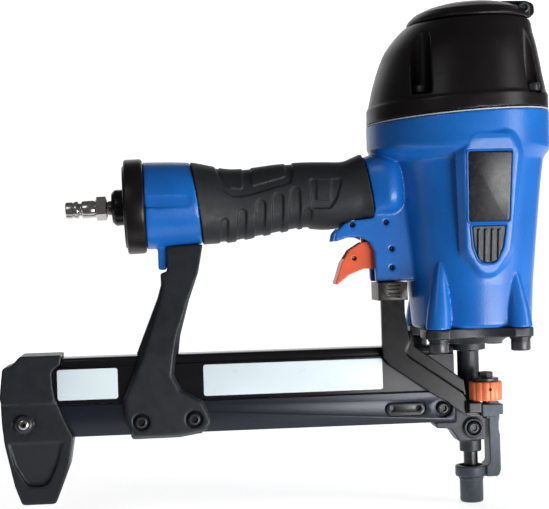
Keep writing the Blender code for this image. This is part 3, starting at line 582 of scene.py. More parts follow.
def horn_outline(grow=0):
    """Side view of the trigger block and the horn that holds the trigger valve."""
    g = grow
    return rounded([
        (-92.6 - g, 181.2 - g, 0.8), (-91.2 - g, 187.4 + g, 2), (-84.8 - g, 193.8 + g, 3),
        (-77.5, 195.8 + g, 3), (-64.8 - g, 197 + g, 1.5), (-64.5 - g, 206, 0),
        (-35, 206, 0), (-33, 160, 0), (-39.9, 153.8 - g, 1.5), (-64.6 - g, 153.6 - g, 1.5),
        (-65.2 - g, 174.5, 3), (-68.6, 181.2 - g, 3.5), (-75, 184.3 - g, 4),
        (-82, 184.4 - g, 4),
    ])


def pad(side):
    """Raised pad of the nameplate, its flanks sloping out and its foot round."""
    top = [(-12.6, 236, 8), (-9.8, 172, 12), (4.8, 151, 8), (19.4, 172, 12),
           (23.6, 236, 8), (17, 248, 7), (-6, 248, 7)]
    foot = [(-18, 238, 10), (-14, 171, 14), (4.8, 143, 10), (24, 171, 14),
            (29, 238, 10), (20, 253, 9), (-9, 253, 9)]
    back = [Vector((x, side * (pad_depth(z) - 6), z)) for x, z in rounded(foot)]
    face = [Vector((x, side * pad_depth(z), z)) for x, z in rounded(top)]
    return loft([back, face])


def base_bosses():
    """Four columns that carry the base screws and fade into the barrel."""
    out = []
    for x, y in BASE_SCREWS:
        rows = [(BASE_Z, 8.4, x, y), (134, 7.6, x * 0.97, y * 0.97),
                (148, 5.4, x * 0.93, y * 0.93), (166, 2.6, x * 0.86, y * 0.88)]
        out.append(loft([level_ring(r, cx, z, y=cy, sides=40)
                         for z, r, cx, cy in spline_rows(rows, 4)]))
    return out


def housing():
    core = on_handle(rod(CORE_RADIUS, -217, -38, axis="X"))
    tab = rounded([(-211, 166, 1.5), (-205.6, 166, 1.5), (-204, 174, 0),
                   (-204, 190, 0), (-211, 190, 0)])
    solids = [barrel(), neck(), rear_drum(), prism(horn_outline(), -BLOCK_HALF, BLOCK_HALF), core,
              prism(tab, -8, 8), pad(-1), pad(1)] + base_bosses()
    cuts = [
        turned([(0, 110), (30.4, 110), (30.4, 134), (34, 138), (34, 236), (47, 246.3),
                (47, 290), (0, 290)], sides=96),
        on_handle(rod(9, -230, -20, axis="X")),
        box((-98, -45.2), (-SLOT_HALF, SLOT_HALF), (140, 190)),
        rod(5.5, 180, 206, (VALVE_X, 0, 0)),
    ]
    cuts += [rod(3.6, 110, 140, (x, y, 0)) for x, y in BASE_SCREWS]
    cuts += [rod(2.8, 250, 290, (x, y, 0)) for x, y in CAP_SCREWS]
    cuts += [rod(1.8, -30, 30, spot, axis="Y") for spot in PINS.values()]
    relief = pill(-211, 211, 46, 8, 10)
    for side in (-1, 1):
        cuts.append(prism(relief, side * 40, side * 27.5))
        cuts.append(moved(prism(plate_outline(0.5), -3, 1.1), pad_tilt(side)))
        cuts.append(moved(prism(shield_outline(0.5), -3, 1.2), pad_tilt(side)))
    body = shape(solids, cuts, voxel=0.75, smooth=4)
    for vertex in body.data.vertices:  # the remesh swells the band by a few tenths
        vertex.co.y = max(-BAND_RADIUS, min(BAND_RADIUS, vertex.co.y))
    piece("housing_casting", body, "paint", nodes=["housing"], sharp=60)


def plate_outline(grow=0):
    g = grow
    return rounded([(-8.3 - g, 20.4 - g, 1.8), (18.2 + g, 20.4 - g, 1.8),
                    (19 + g, 66 + g, 1.8), (-9.6 - g, 66 + g, 1.8)])


def shield_outline(grow=0):
    g = grow
    return rounded([(-6.6 - g, 17.4 + g, 1.4), (-5 - g, 3, 10), (-1, -7.6 - g, 6),
                    (10.6, -7.6 - g, 6), (14.6 + g, 3, 10), (16.2 + g, 17.4 + g, 1.4)])


def nameplates():
    plate = shape([moved(prism(plate_outline(), -0.9, 0.9), pad_tilt())], bevel=0.35)
    piece("nameplate_blank", plate, "plate", nodes=["nameplate"])
    ribs = [box((x - 0.8, x + 0.8), (-1.5, 0.4), (-12, 15)) for x in (-1.9, 2.6, 7.1, 11.6)]
    bars = solid_of(shape(ribs, keep=[prism(shield_outline(-0.9), -5, 5)]))
    face = prism(shield_outline(-0.4), -0.2, 1)
    insert = shape([moved(face, pad_tilt()), moved(bars, pad_tilt())], voxel=0.3, smooth=2)
    piece("ribbed_shield", insert, "cast_alloy", nodes=["ribbed_insert"],
          sharp=60)
    for side, where in ((-1, "near"), (1, "far")):
        for label, outline in (("plate", plate_outline(0.9)), ("shield", shield_outline(0.9))):
            ring = shape([moved(bead(outline, -0.1, 0.75), pad_tilt(side))])
            piece(f"{label}_rim_{where}", ring, "paint")
    blank = shape([moved(prism(plate_outline(), -0.9, 0.9), pad_tilt(1))], bevel=0.35)
    piece("nameplate_blank_far", blank, "plate")
    back = shape([moved(prism(shield_outline(), -0.5, 1), pad_tilt(1))], bevel=0.3)
    piece("ribbed_shield_far", back, "cast_alloy")


# ---------------------------------------------------------------- head

def head_cap():
    rows = [(SEAM_Z + 0.7 + z, x, r) for z, x, r in CAP[:3] + spline_rows(CAP[3:], 4)]
    cuts = [turned([(0, 255), (44, 255), (44, 298), (36, 311), (0, 311)], sides=96),
            rod(9, 300, 340, (6.5, 0, 0))]
    r, top = 6.6, 322  # of the screw wells, which open outwards
    for x, y in CAP_SCREWS:
        cuts.append(turned([(0, 250), (3, 250), (3, CAP_SCREW_SEAT), (r, CAP_SCREW_SEAT),
                            (r, top), (0, top)], (x, y, 0)))
        out, side = math.copysign(5, x), math.copysign(30, y)
        gate = [(x - r, y), (x + r, y), (x + r + out, y + side), (x - r + out, y + side)]
        cuts.append(prism(gate, CAP_SCREW_SEAT, top, "Z"))
    cap = shape([round_sections(rows, SEAM_SLOPE, CROWN_SLOPE)], cuts, voxel=0.8, smooth=5)
    piece("head_cap_moulding", cap, "cap_plastic", nodes=["head_cap"], sharp=60)


def deflector():
    """Low dome with a spout that turns the exhaust air forward, and its screw."""
    dome = [(328.8, 6.5, 41.6), (330.2, 6.8, 42.6), (332.4, 7.2, 41.6), (335.8, 7.6, 38.2),
            (339.2, 8, 31), (341.6, 8, 22), (342.8, 8, 12)]
    spout = rounded([(4, 331, 0), (4, 340.4, 0), (30, 341.8, 30), (43.6, 341.6, 3),
                     (48.6, 339.4, 4), (49, 333, 4), (45.4, 329.8, 2)])
    boss = turned([(0, -20.6), (3.8, -20.6), (4.4, -20), (4.4, 0), (0, 0)], (40.6, 0, 336.4),
                  axis="Y")
    cuts = [rod(13, 320, 336, (8, 0, 0)), box((8, 60), (-16, 16), (322, 334))]
    top = shape([round_sections(dome, CROWN_SLOPE, CROWN_SLOPE), prism(spout, -19, 19), boss],
                cuts, voxel=0.7, smooth=4)
    piece("deflector_moulding", top, "cap_plastic", nodes=["exhaust_deflector"], sharp=60)
    screw = button_head(40.6, -20.7, 336.4, 2.9)
    piece("deflector_screw", screw, "cast_alloy")


def gasket():
    low, high = SEAM_Z - 0.4, SEAM_Z + 0.4
    rings = [level_ring(r, BAND_CENTRE, z, SEAM_SLOPE)
             for z, r in ((low, 50), (low, 62.45), (high, 62.45), (high, 50))]
    piece("gasket_edge", shape([loft(rings, closed=True)], bevel=0.15), "seal",
          nodes=["cap_gasket"])


def socket_head(seat, head, height, shank, length, up=1, washer=0, ring=False):
    """Socket-head screw; washer is how far its washer stands out, ring grooves its rim."""
    socket = head * 0.55
    profile = [(0, -length), (shank, -length), (shank, 0)]
    if washer:
        profile += [(head + washer, 0), (head + washer, 1), (head + 0.1, 1.1)]
    profile += [(head, 1.2), (head, height - 1), (head - 0.3, height - 0.35),
                (head - 0.9, height), (socket + 0.4, height), (socket, height - 0.4),
                (socket, height * 0.45), (0, height * 0.40)]
    profile = [(r, h * up) for r, h in profile]
    corners = [i for i, p in enumerate(profile) if p[0] == socket]
    grooves = []
    if ring:
        for h in (1.9, 2.7):
            groove = [(head - 0.35, h * up), (head + 2, h * up), (head + 2, (h + 0.35) * up),
                      (head - 0.35, (h + 0.35) * up)]
            grooves.append(turned(groove, seat))
    return shape([turned(profile, seat, corners=corners)], grooves)


def cap_screws():
    for number, (x, y) in enumerate(CAP_SCREWS, 1):
        screw = socket_head((x, y, CAP_SCREW_SEAT + GAP), 5, 6, 2.2, 22)
        piece(f"cap_screw_{number}_head", screw, "black_steel", nodes=[f"cap_screw_{number}"])


def base_screws():
    for number, (x, y) in enumerate(BASE_SCREWS, 1):
        screw = socket_head((x, y, 115 - GAP), 6.5, 9, 3, 24, up=-1, washer=0.7, ring=True)
        piece(f"base_screw_{number}_head", screw, "black_steel", nodes=[f"base_screw_{number}"])


def button_head(x, y, z, radius=4.4):
    """Button-head screw that faces -Y, seated at depth y."""
    dome = [(0, y - 2), (2.3, y - 2), (2.3, y - 2.9), (2.9, y - 3), (3.6, y - 2.6),
            (radius - 0.2, y - 1.6), (radius, y - 0.9), (radius, y), (0, y)]
    socket = rod(2.2, y - 4, y - 1, (x, 0, z), axis="Y", sides=6)
    return shape([turned(dome[1:-1] + [(0, y), (0, y - 2)], (x, 0, z), axis="Y")], [socket])


def side_screws():
    for name, seat in SIDE_SCREWS.items():
        piece(f"{name}_head", button_head(*seat), "black_steel", nodes=[name])


def screw_well(name, radius, low, high):
    x, _, z = SIDE_SCREWS[name]
    return rod(radius, low, high, (x, 0, z), axis="Y")


# ---------------------------------------------------------------- nose

def nose():
    flange = rounded([(-36.4, -45.4, 8.6), (36.4, -45.4, 8.6), (36.4, 45.4, 8.6),
                      (-36.4, 45.4, 8.6)])
    cone = [(0, 34.9), (7.1, 34.9), (7.5, 35.4), (7.5, 104.5), (12.1, 104.9), (12.1, 109.4),
            (24, 110.4), (31, 115.4), (0, 115.4)]
    block = rounded([(-11.8, 66.5, 0), (-11.8, 56.4, 0), (-24.6, 56.4, 0), (-26.3, 54.9, 0.6),
                     (-24.4, 52.2, 1), (-15.5, 51.8, 5), (-9.6, 42.6, 1), (8.8, 43.4, 1),
                     (8.8, 66.5, 0)])
    rim = turned([(4.9, -11.4), (6.6, -11.4), (6.6, -8), (4.9, -8)], (0.2, 0, 51.9), axis="Y")
    side_hole = [(0, 100), (30, 100), (30, 130), (0, 130)]
    cuts = [turned(side_hole, (x, y, 0), sides=96) for x, y in
            ((-60, 0), (60, 0), (0, -66), (0, 66))]
    cuts.append(turned([(0, 20), (5.2, 20), (5.2, 60), (3.9, 60), (3.9, 130), (0, 130)]))
    cuts.append(box((-20, 0), (-2.2, 2.2), (62, 104)))
    cuts += [rod(3.8, 100, 130, (x, y, 0)) for x, y in BASE_SCREWS]
    body = shape([prism(flange, 115, 121, "Z"), turned(cone, sides=96),
                  prism(block, -8.8, 8.8), rim], cuts, voxel=0.5, smooth=3)
    piece("nose_casting", body, "cast_alloy", nodes=["nose"], sharp=60)
    tube = [(3.65, 12), (4.85, 12), (4.85, 59.6), (3.65, 59.6)]
    piece("drive_guide_tube", shape([turned(tube)], bevel=0.2), "black_steel",
          nodes=["drive_guide"])


# ---------------------------------------------------------------- magazine

def magazine():
    low, split, high = MAGAZINE_Z
    half = MAGAZINE_HALF
    side = [(half, split + 0.6), (half, 102.9), (half - 0.5, 103.4), (11.4, 103.6), (11.4, 104.6),
            (11.7, 104.9), (11.7, 107), (11.3, 108.2), (10.3, high)]
    upper = [(2.6, split + 0.15), (half - 0.5, split + 0.15)] + side
    mirror = [(-y, z) for y, z in reversed(upper)]
    outline = upper + mirror + [(-2.6, 104), (2.6, 104)]
    channel = shape([prism(outline, *MAGAZINE_X, "X")], bevel=0.2, limit=50)
    piece("magazine_channel_skin", channel, "channel", nodes=["magazine_channel"])
    lower = [(-half + 0.8, low), (half - 0.8, low), (half, low + 1), (half, split - 0.9),
             (half - 0.7, split - 0.15), (2.6, split - 0.15), (2.6, 60), (-2.6, 60),
             (-2.6, split - 0.15), (-half + 0.7, split - 0.15), (-half, split - 0.9),
             (-half, low + 1)]
    cuts = [prism(pill(-46.8, 67.4, 28.4, 10.6), -20, -11),
            screw_well("magazine_screw", 6.2, -20, -10)]
    rail = shape([prism(lower, *MAGAZINE_X, "X")], cuts, bevel=0.25, limit=50)
    piece("magazine_rail_skin", rail, "rail", nodes=["magazine_rail"])
    holes = [rod(1.7, -20, -8, (x, 0, 67.2), axis="Y") for x in (-55.6, -38)]
    latch = shape([prism(pill(-46.8, 66.6, 26.4, 8.6), -12.9, -11.3)], holes, bevel=0.35)
    piece("latch_plate_skin", latch, "black_steel", nodes=["latch_plate"])
    for name, x0, x1, z0, z1 in (("rear_label", -280.2, -240.2, 81.4, 101.8),
                                 ("front_label", -183.1, -61.9, 80.9, 101.8)):
        film = rounded([(x0, z0, 1.6), (x1, z0, 1.6), (x1, z1, 1.6), (x0, z1, 1.6)])
        label = shape([prism(film, -half - 0.3, -half - 0.05)], bevel=0.08)
        piece(f"{name}_film", label, "label", nodes=[name])


def creased(outer, inner, half, edge):
    """Plate of an outline whose two faces are the smaller inner outline, chamfered to edge."""
    a, b = rounded(outer, 5), rounded(inner, 5)
    rings = [(b, -half), (a, -edge), (a, edge), (b, half)]
    return loft([[Vector((x, y, z)) for x, z in outline] for outline, y in rings])


def magazine_bracket():
    """Leg from the handle down to a clamp round the magazine, creased along both edges."""
    outer = [
        (-205.2, 181.8, 0), (-180.8, 182.6, 1), (-184.4, 164, 6), (-191.2, 145, 20),
        (-197.6, 122, 20), (-200.8, 97, 6), (-196.5, 87.5, 4), (-182, 79.5, 4),
        (-175.4, 63, 3), (-180.6, 56.6, 3), (-200, 53.6, 0), (-231.5, 53.4, 2),
        (-238.2, 68, 6), (-239.2, 81, 4), (-227, 110.6, 20), (-212.2, 147, 10),
        (-209.6, 156, 3), (-209.8, 163.4, 1.2), (-205.2, 165, 0.8),
    ]
    inner = [
        (-199, 181.8, 0), (-184, 182.6, 1), (-187.6, 162, 6), (-194.6, 144, 20),
        (-201.4, 121, 20), (-205, 95, 6), (-199.6, 84.6, 4), (-185.6, 77, 4),
        (-179.4, 63.4, 3), (-183, 59.4, 3), (-201, 56.4, 0), (-229.4, 56.4, 2),
        (-234.4, 69, 6), (-235.2, 80.6, 4), (-222, 109.6, 20), (-206.4, 144, 10),
        (-203.4, 152, 3), (-202.6, 158, 1.2), (-199.6, 164, 0.8),
    ]
    cuts = [box((-262, -158), (-12.8, 12.8), (56.5, 109.3))]
    for side in (-1, 1):
        cuts.append(prism([(side * 17, 106), (side * 30, 106), (side * 30, 200),
                           (side * 8.6, 200)], -262, -158, "X"))
    cuts += [screw_well(f"bracket_screw_{k}", 5.6, -24, -14.4) for k in (1, 2)]
    body = shape([creased(outer, inner, 16.6, 11)], cuts, voxel=0.7, smooth=4)
    piece("bracket_moulding", body, "moulded_plastic", nodes=["magazine_bracket"], sharp=60)


def boot():
    """Moulded foot at the rear end of the magazine: clamp above, sunk U on the foot below."""
    lower = rounded([
        (-305, 13.4, 3), (-283, 13.4, 3), (-273.6, 37, 10), (-270.4, 56.6, 2),
        (-276.6, 70, 12), (-282.6, 86, 8), (-317.4, 86, 1), (-317, 68, 20),
        (-315.6, 54, 20), (-309.6, 26, 10),
    ])
    clamp = rounded([
        (-318, 84, 6), (-316.6, 80.4, 1.5), (-281.6, 80.4, 2), (-283.2, 92, 6),
        (-283.6, 101, 4), (-277.4, 106, 2), (-276.8, 111.8, 0.8), (-304, 111.8, 3),
        (-309, 106.4, 3), (-315.6, 104, 2),
    ])
    sunk = rounded([(-313, 54.6, 0), (-309.4, 40, 12), (-301, 25.4, 8), (-288, 25.4, 8),
                    (-281.4, 40, 12), (-277.6, 54.6, 0)])
    cuts = [box((-298, -260), (-12.8, 12.8), (56.5, 109.3)), rod(2.9, -30, 30, BOOT_BOLT, axis="Y")]
    for side in (-1, 1):
        floor = [Vector((x, side * (15 - 0.11 * (54.6 - z)), z)) for x, z in sunk]
        cuts.append(loft([floor, [Vector((x, side * 22, z)) for x, z in sunk]]))
        cuts.append(prism(rounded([(-330, 103.8, 0), (-281, 103.8, 0.4),
                                   (-281, 102.6, 0.4), (-330, 102.6, 0)]),
                          side * 20, side * 16.3))
        cuts.append(turned([(6.4, side * 15), (7.6, side * 15), (7.6, side * 20),
                            (6.4, side * 20)], BOOT_BOLT, axis="Y"))
    body = shape([prism(lower, -15.8, 15.8), prism(clamp, -17, 17)], cuts, voxel=0.7, smooth=4)
    piece("boot_moulding", body, "moulded_plastic", nodes=["boot"], sharp=60)
    bolt = [(0, -18.4), (2.6, -18.4), (2.8, -19.6), (4.6, -19.5), (5.6, -18.9), (6, -18.2),
            (6, -17.3), (2.5, -17.3), (2.5, 19.5), (0, 19.5)]
    piece("boot_bolt_head", shape([turned(bolt, BOOT_BOLT, axis="Y", corners=(1,))]),
          "black_steel", nodes=["boot_bolt"])
    tip = [(1.5, -20.2), (2.6, -20.2), (3.1, -19.8), (3.1, -19), (1.5, -19)]
    piece("boot_bolt_ring", shape([turned(tip, BOOT_BOLT, axis="Y")]), "bright_steel")
    nut = [(2.9, 17.3), (5.3, 17.3), (5.5, 17.6), (5.5, 20.2), (5.2, 20.5), (2.9, 20.5)]
    nut = turned(nut, BOOT_BOLT, axis="Y", corners=(1, 2, 3, 4))
    piece("boot_nut_skin", shape([nut], bevel=0.15), "black_steel", nodes=["boot_nut"])


# ---------------------------------------------------------------- handle

GRIP = [
    (-183.7, 210.3, 56, 54.6, -0.136), (-178, 209.8, 54.6, 51, -0.10),
    (-163, 208.4, 50.6, 44, -0.05), (-150, 209.2, 48.6, 41.5, 0),
    (-130, 212, 47.4, 40, 0), (-112, 213.7, 45.6, 39.5, 0),
    (-96, 213.2, 46.4, 40, -0.05), (-82, 214.4, 43.6, 41, -0.12),
    (-74, 216.8, 43.6, 42, -0.17), (-67.6, 217.6, 47, 44, -0.17),
]


def grip_sleeve(sink=0, ends=0):
    """The grip's outer shape with its skin sunk by sink."""
    rows = spline_rows(GRIP, 5)
    rows[0] = (rows[0][0] + ends, *rows[0][1:])
    rows[-1] = (rows[-1][0] - ends, *rows[-1][1:])
    return loft([oval_x(x, z, h - 2 * sink, w - 2 * sink, lean) for x, z, h, w, lean in rows])


def grip():
    """Rubber sleeve with finger slots and sunk panels, whose floors follow its skin."""
    slots = [(-165.9, 199.2, 5), (-154.2, 205.4, 6), (-141.7, 211, 6.6),
             (-130.1, 215.2, 7.6), (-118.4, 218.9, 7.2), (-109.6, 204.6, 5.4)]
    cuts = [prism(leaning_slot(x - 0.8, 170, top, width, 0.02), -45, 45) for x, top, width in slots]
    wave = rounded([(-173, 250, 0), (-171, 232.5, 4), (-167.5, 218, 4), (-160, 213, 5),
                    (-149.2, 214, 10), (-121, 221.6, 2), (-118.5, 231, 3), (-118, 250, 0)])
    front = rounded([(-108.6, 224, 1.5), (-106.9, 204.1, 0.5), (-94.5, 204, 3),
                     (-90.3, 210.1, 4), (-86.1, 224, 1.5)])
    cuts += [prism(wave, -45, 45), prism(front, -45, 45)]
    raised = [
        rounded([(-168.4, 240, 0), (-167.8, 229.4, 2), (-162.3, 219.2, 2.5), (-153.5, 218.7, 1.5),
                 (-152.7, 240, 0)]),
        rounded([(-147.7, 220.3, 1), (-145.9, 240, 0), (-123.5, 240, 0), (-124.6, 226.2, 1)]),
        rounded([(-103.4, 224.5, 0.5), (-103.7, 210, 0.8), (-94.6, 209.7, 0.8),
                 (-93.6, 224.5, 0.5)]),
    ]
    tiles = [solid_of(shape([prism(outline, -45, 45)], keep=[grip_sleeve(0.25, 0.2)]))
             for outline in raised]
    solid = solid_of(shape([grip_sleeve()], cuts, [grip_sleeve(1.1, 0.4)] + tiles))
    openings = [on_handle(rod(CORE_RADIUS + GAP, -230, -40, axis="X")),
                prism(horn_outline(GAP), -BLOCK_HALF - GAP, BLOCK_HALF + GAP),
                rod(6.2, 180, 206, (VALVE_X, 0, 0))]
    sleeve = shape([solid], openings, voxel=0.5, smooth=3)
    piece("grip_sleeve_rubber", sleeve, "rubber", nodes=["grip_sleeve"], sharp=60)


def inlet():
    cap = [(9, -233.2), (26.6, -233.2), (27.4, -232.9), (27.8, -232.2), (28.2, -231.9),
           (30.8, -231.9), (31.6, -231.3), (32, -230.2), (32, -221.2), (31.6, -219.9),
           (30.4, -219.15), (9, -219.15)]
    piece("end_cap_moulding", shape([on_handle(turned(cap, axis="X", sides=128))], bevel=0.25),
          "cap_plastic", nodes=["end_cap"], sharp=30)
    bush = [(4.6, -241.2), (9.4, -241.2), (10.4, -240.8), (11.4, -239.6), (12, -238.8),
            (12.2, -238), (12.2, -233.5), (8.6, -233.5), (8.6, -215), (4.6, -215)]
    notches = []
    for k in range(10):
        a = 2 * math.pi * k / 10 + 0.2
        spot = (0, 12.6 * math.cos(a), 12.6 * math.sin(a))
        notches.append(on_handle(rod(1.1, -243, -236.4, spot, axis="X", sides=20)))
    piece("inlet_dome", shape([on_handle(turned(bush, axis="X", sides=96))], notches),
          "channel", nodes=["inlet_bushing"], sharp=50)
    plug = [(2.6, -272.2), (4.7, -272.2), (5.3, -271.9), (5.6, -271.2), (5.6, -267.4),
            (5.2, -266.9), (5.2, -266.3), (5.7, -266), (5.9, -265.5), (5.9, -263.9),
            (5.6, -263.4), (4.5, -262.9), (4.4, -262.2), (4.5, -261.6), (5.6, -261.1),
            (6, -260.5), (6, -253.2), (5.6, -252.5), (6.5, -251.8), (7, -251.2),
            (7, -244.9), (6.4, -244.3), (4.2, -244), (4.2, -222), (2.6, -222)]
    piece("air_plug_nipple", shape([on_handle(turned(plug, axis="X", sides=72, corners=(19, 20)))]),
          "bright_steel", nodes=["air_plug"], sharp=35)
    thread = [(3.8, -243.9), (4, -243.9)]
    for k in range(7):
        thread += [(5.2, -243.6 + k * 0.5), (4.7, -243.35 + k * 0.5)]
    thread += [(4, -240.2), (3.8, -240.2)]
    piece("air_plug_thread", shape([on_handle(turned(thread, axis="X"))]), "bright_steel")


# ---------------------------------------------------------------- trigger

def pins():
    for name, spot in PINS.items():
        half = BLOCK_HALF - 0.3
        pin = [(0, -half + 1.6), (0.7, -half + 1.4), (0.8, -half), (1.3, -half),
               (1.4, -half + 0.2), (1.4, half - 0.2), (1.3, half), (0.8, half),
               (0.7, half - 1.4), (0, half - 1.6)]
        piece(f"{name}_roll", shape([turned(pin, spot, axis="Y", sides=32)]),
              "plate", nodes=[name])


def trigger():
    outline = rounded([
        (-64.4, 162.3, 0.8), (-61, 170.6, 2), (-48.4, 171, 3), (-47.6, 180, 3.5),
        (-57.5, 181.6, 2), (-72.7, 180.9, 2), (-81.2, 175.7, 3), (-86.9, 167.1, 4),
        (-89.9, 157.8, 4), (-92.6, 150.4, 1), (-87.4, 154.6, 4), (-81.6, 159, 4),
        (-71.6, 162.8, 3),
    ])
    hollow = [(-84.6, 167), (-86, 185), (-40, 185), (-40, 150), (-67, 150),
              (-67, 165.6), (-72, 166), (-80, 162.6)]
    cuts = [prism(hollow, -6.2, 6.2), rod(1.7, -9, 9, PINS["trigger_pin"], axis="Y"),
            rod(1.5, -9, 9, LEVER_PIN, axis="Y")]
    body = shape([prism(outline, -8.6, 8.6)], cuts, voxel=0.35, smooth=4)
    piece("trigger_moulding", body, "orange_plastic", "trigger", ["trigger"], sharp=60)
    pin = [(0, -7.4), (0.8, -7.6), (0.9, -8.5), (1.25, -8.6), (1.35, -8.3), (1.35, 8.3),
           (1.25, 8.6), (0.9, 8.5), (0.8, 7.6), (0, 7.4)]
    piece("lever_pin_roll", shape([turned(pin, LEVER_PIN, axis="Y", sides=32)]), "black_steel",
          "trigger", ["lever_pin"])
    lever = rounded([(-81.2, 167.2, 2.4), (-75.4, 167.2, 2), (-73.6, 172.4, 1), (-61, 173.6, 0.8),
                     (-61, 175.8, 0.8), (-75, 176, 3), (-81.4, 172.8, 2.4)])
    hole = rod(1.6, -9, 9, LEVER_PIN, axis="Y")
    piece("trigger_lever_plate", shape([prism(lever, -4.6, 4.6)], [hole], bevel=0.3),
          "bright_steel", "trigger_lever", ["trigger_lever"])
    valve = [(1.8, 187.6), (4.1, 187.6), (4.6, 187.9), (5.2, 188.5), (5.2, 203), (1.8, 203)]
    piece("trigger_valve_body", shape([turned(valve, (VALVE_X, 0, 0))], bevel=0.15),
          "bright_steel", nodes=["trigger_valve"])
    stem = [(0, 178.3), (0.9, 178.35), (1.3, 178.7), (1.5, 179.2), (1.5, 201), (0, 201)]
    piece("valve_stem_rod", shape([turned(stem, (VALVE_X, 0, 0), sides=32)]),
          "bright_steel", "valve_stem", ["valve_stem"])


# ---------------------------------------------------------------- contact safety

def arm_guide():
    """Guide box under the trigger block, with ribs on its face and its rear edge."""
    walls = [box((-64.4, -44.4), (-20.6, 9), (141, 153.2))]
    ear = rounded([(-57.6, 148, 0), (-49, 148, 0), (-49, 166.8, 3.4), (-57.6, 166.8, 3.4)])
    cuts = [box((-63.1, -45.6), (-19, 7.4), (130, 160))]
    for k in range(4):
        z = 143.4 + k * 2.6
        lean = [(-58.4 + k % 2, z), (-50.2 + k % 2, z - 0.5), (-50 + k % 2, z + 0.5),
                (-58.2 + k % 2, z + 1)]
        cuts.append(prism(lean, -24, -20.1))
    back = box((-64.4, -44.4), (7.2, 9), (141, 152))
    body = shape(walls, cuts, [prism(ear, 7, 8.7), back], bevel=0.3)
    body = shape([solid_of(body)], [rod(1.7, -30, 30, PINS["guide_pin"], axis="Y")])
    piece("arm_guide_box", body, "guide", nodes=["arm_guide"])


def safety_arm():
    """Pressed arm: a flat face, and a web folded back above its slanting edge."""
    face = rounded([
        (-62.4, 143.4, 0), (-46.2, 143.4, 0), (-46.2, 132, 4), (-43.4, 114, 6),
        (-47.8, 104.6, 6), (-8, 76.6, 1), (-4.8, 70.8, 0), (2.9, 70.8, 0), (2.9, 60.8, 0),
        (-5.6, 60.8, 5), (-14, 66.6, 2), (-19.5, 71.6, 4), (-24.5, 73.8, 4), (-57.6, 97, 6),
        (-62.4, 104, 10),
    ])
    web = rounded([(-47.5, 120, 0), (-41.8, 120, 0), (-40.2, 109.6, 4), (-6.8, 85.6, 0),
                   (-5.4, 74.6, 0), (-48, 103, 0)])
    solids = [prism(face, -18.4, -14.4), prism(web, -16.6, -14.4),
              box((-62, -46), (-18.2, 4), (141.6, 143.6)),
              box((-62, -59.2), (-4, 4), (141.6, 166.4)),
              box((-6, 2.9), (-24.6, -14.4), (63.6, 70.8))]
    body = shape(solids, voxel=0.4, smooth=3)
    piece("safety_arm_pressing", body, "arm", "safety", ["safety_arm"], sharp=60)


def contact_bracket():
    x, y = WHEEL
    ring = [(8.1, 17.7), (10.2, 17.7), (10.7, 18.2), (10.9, 19), (10.9, 24.2), (10.7, 24.8),
            (10.2, 25.2), (8.1, 25.2)]
    bar = rounded([(9.2, 17.7, 0), (17.6, 17.7, 2.4), (19.2, 22, 2.4), (19.2, 69.2, 1.2),
                   (11.6, 69.2, 0), (11.6, 27.5, 3), (9.2, 25.2, 0)])
    flute = rounded([(20.6, 44, 0), (20.6, 60, 0), (19.2, 58, 3), (18.5, 55, 6),
                     (18.5, 49, 6), (19.2, 46, 3)])
    solids = [prism(bar, -8, 8)]
    cuts = [rod(8.1, 10, 30), prism(flute, -12, 12)]
    cores = [turned(ring), box((10.2, 17.4), (-25.6, -7), (62.2, 69.2)),
             box((3.2, 12.6), (-25.6, -10.9), (61, 69.2))]
    body = shape(solids, cuts, cores, voxel=0.35, smooth=3)
    piece("safety_bracket_forging", body, "grey_steel", "contact_foot",
          ["safety_bracket"], sharp=60)
    nozzle = [(5.3, 0.4), (5.7, 0), (6.6, 0), (7.4, 0.35), (8, 1.4), (8, 15.2), (8.3, 15.5),
              (8.4, 15.9), (8.4, 16.6), (8.3, 17.2), (7.9, 17.4), (7.7, 17.6), (7.7, 23),
              (5.3, 23)]
    piece("contact_nozzle_sleeve", shape([turned(nozzle, sides=96)]), "grey_steel",
          "contact_foot", ["contact_nozzle"], sharp=35)
    stud = [(0, 59), (2.2, 59), (2.5, 59.3), (2.5, 86.9), (4.4, 86.9), (4.6, 87.1),
            (4.6, 90.2), (4.3, 90.6), (3.1, 90.6), (3, 90.2), (0, 90.2)]
    piece("adjust_stud_nut", shape([turned(stud, (x, y, 0), corners=(4, 5, 6, 7))]),
          "black_steel", "contact_foot", ["adjust_stud"])
    washer = [(2.9, 84.6), (8.7, 84.6), (8.9, 84.8), (8.9, 86.3), (8.6, 86.6), (2.9, 86.6)]
    piece("stud_washer_ring", shape([turned(washer, (x, y, 0))]), "black_steel",
          "contact_foot", ["stud_washer"])


def depth_wheel():
    """Thumb wheel with broad flutes round its rim and a blind hole in its side."""
    x, y = WHEEL
    flutes, sides = 14, 168
    rings = []
    for z, grow in ((71.6, -0.7), (71.9, -0.25), (72.4, 0), (83.4, 0), (83.9, -0.25),
                    (84.2, -0.7)):
        ring = []
        for i in range(sides):
            a = 2 * math.pi * i / sides
            wave = 0.5 - 0.5 * math.cos(flutes * a)
            r = 11.15 + grow - 0.55 * wave ** 3
            ring.append(Vector((x + r * math.cos(a), y + r * math.sin(a), z)))
        rings.append(ring)
    cuts = [rod(2.9, 60, 95, (x, y, 0)),
            rod(1.15, y - 14, y - 8, (x + 0.6, 0, 79.4), axis="Y", sides=24)]
    piece("depth_wheel_rim", shape([loft(rings)], cuts), "wheel", "depth_wheel",
          ["depth_wheel"], sharp=30)


def hidden_parts():
    """CAD solids that stay as they are inside the tool and only get their material."""
    for node, slot in (("cylinder_liner", "bright_steel"), ("bumper", "rubber"),
                       ("piston", "nylon"), ("driver_blade", "bright_steel"),
                       ("head_valve", "nylon"), ("nail_pusher", "black_steel"),
                       ("pusher_spring", "bright_steel")):
        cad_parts[node].material_slots[0].material = LOOKS[slot]


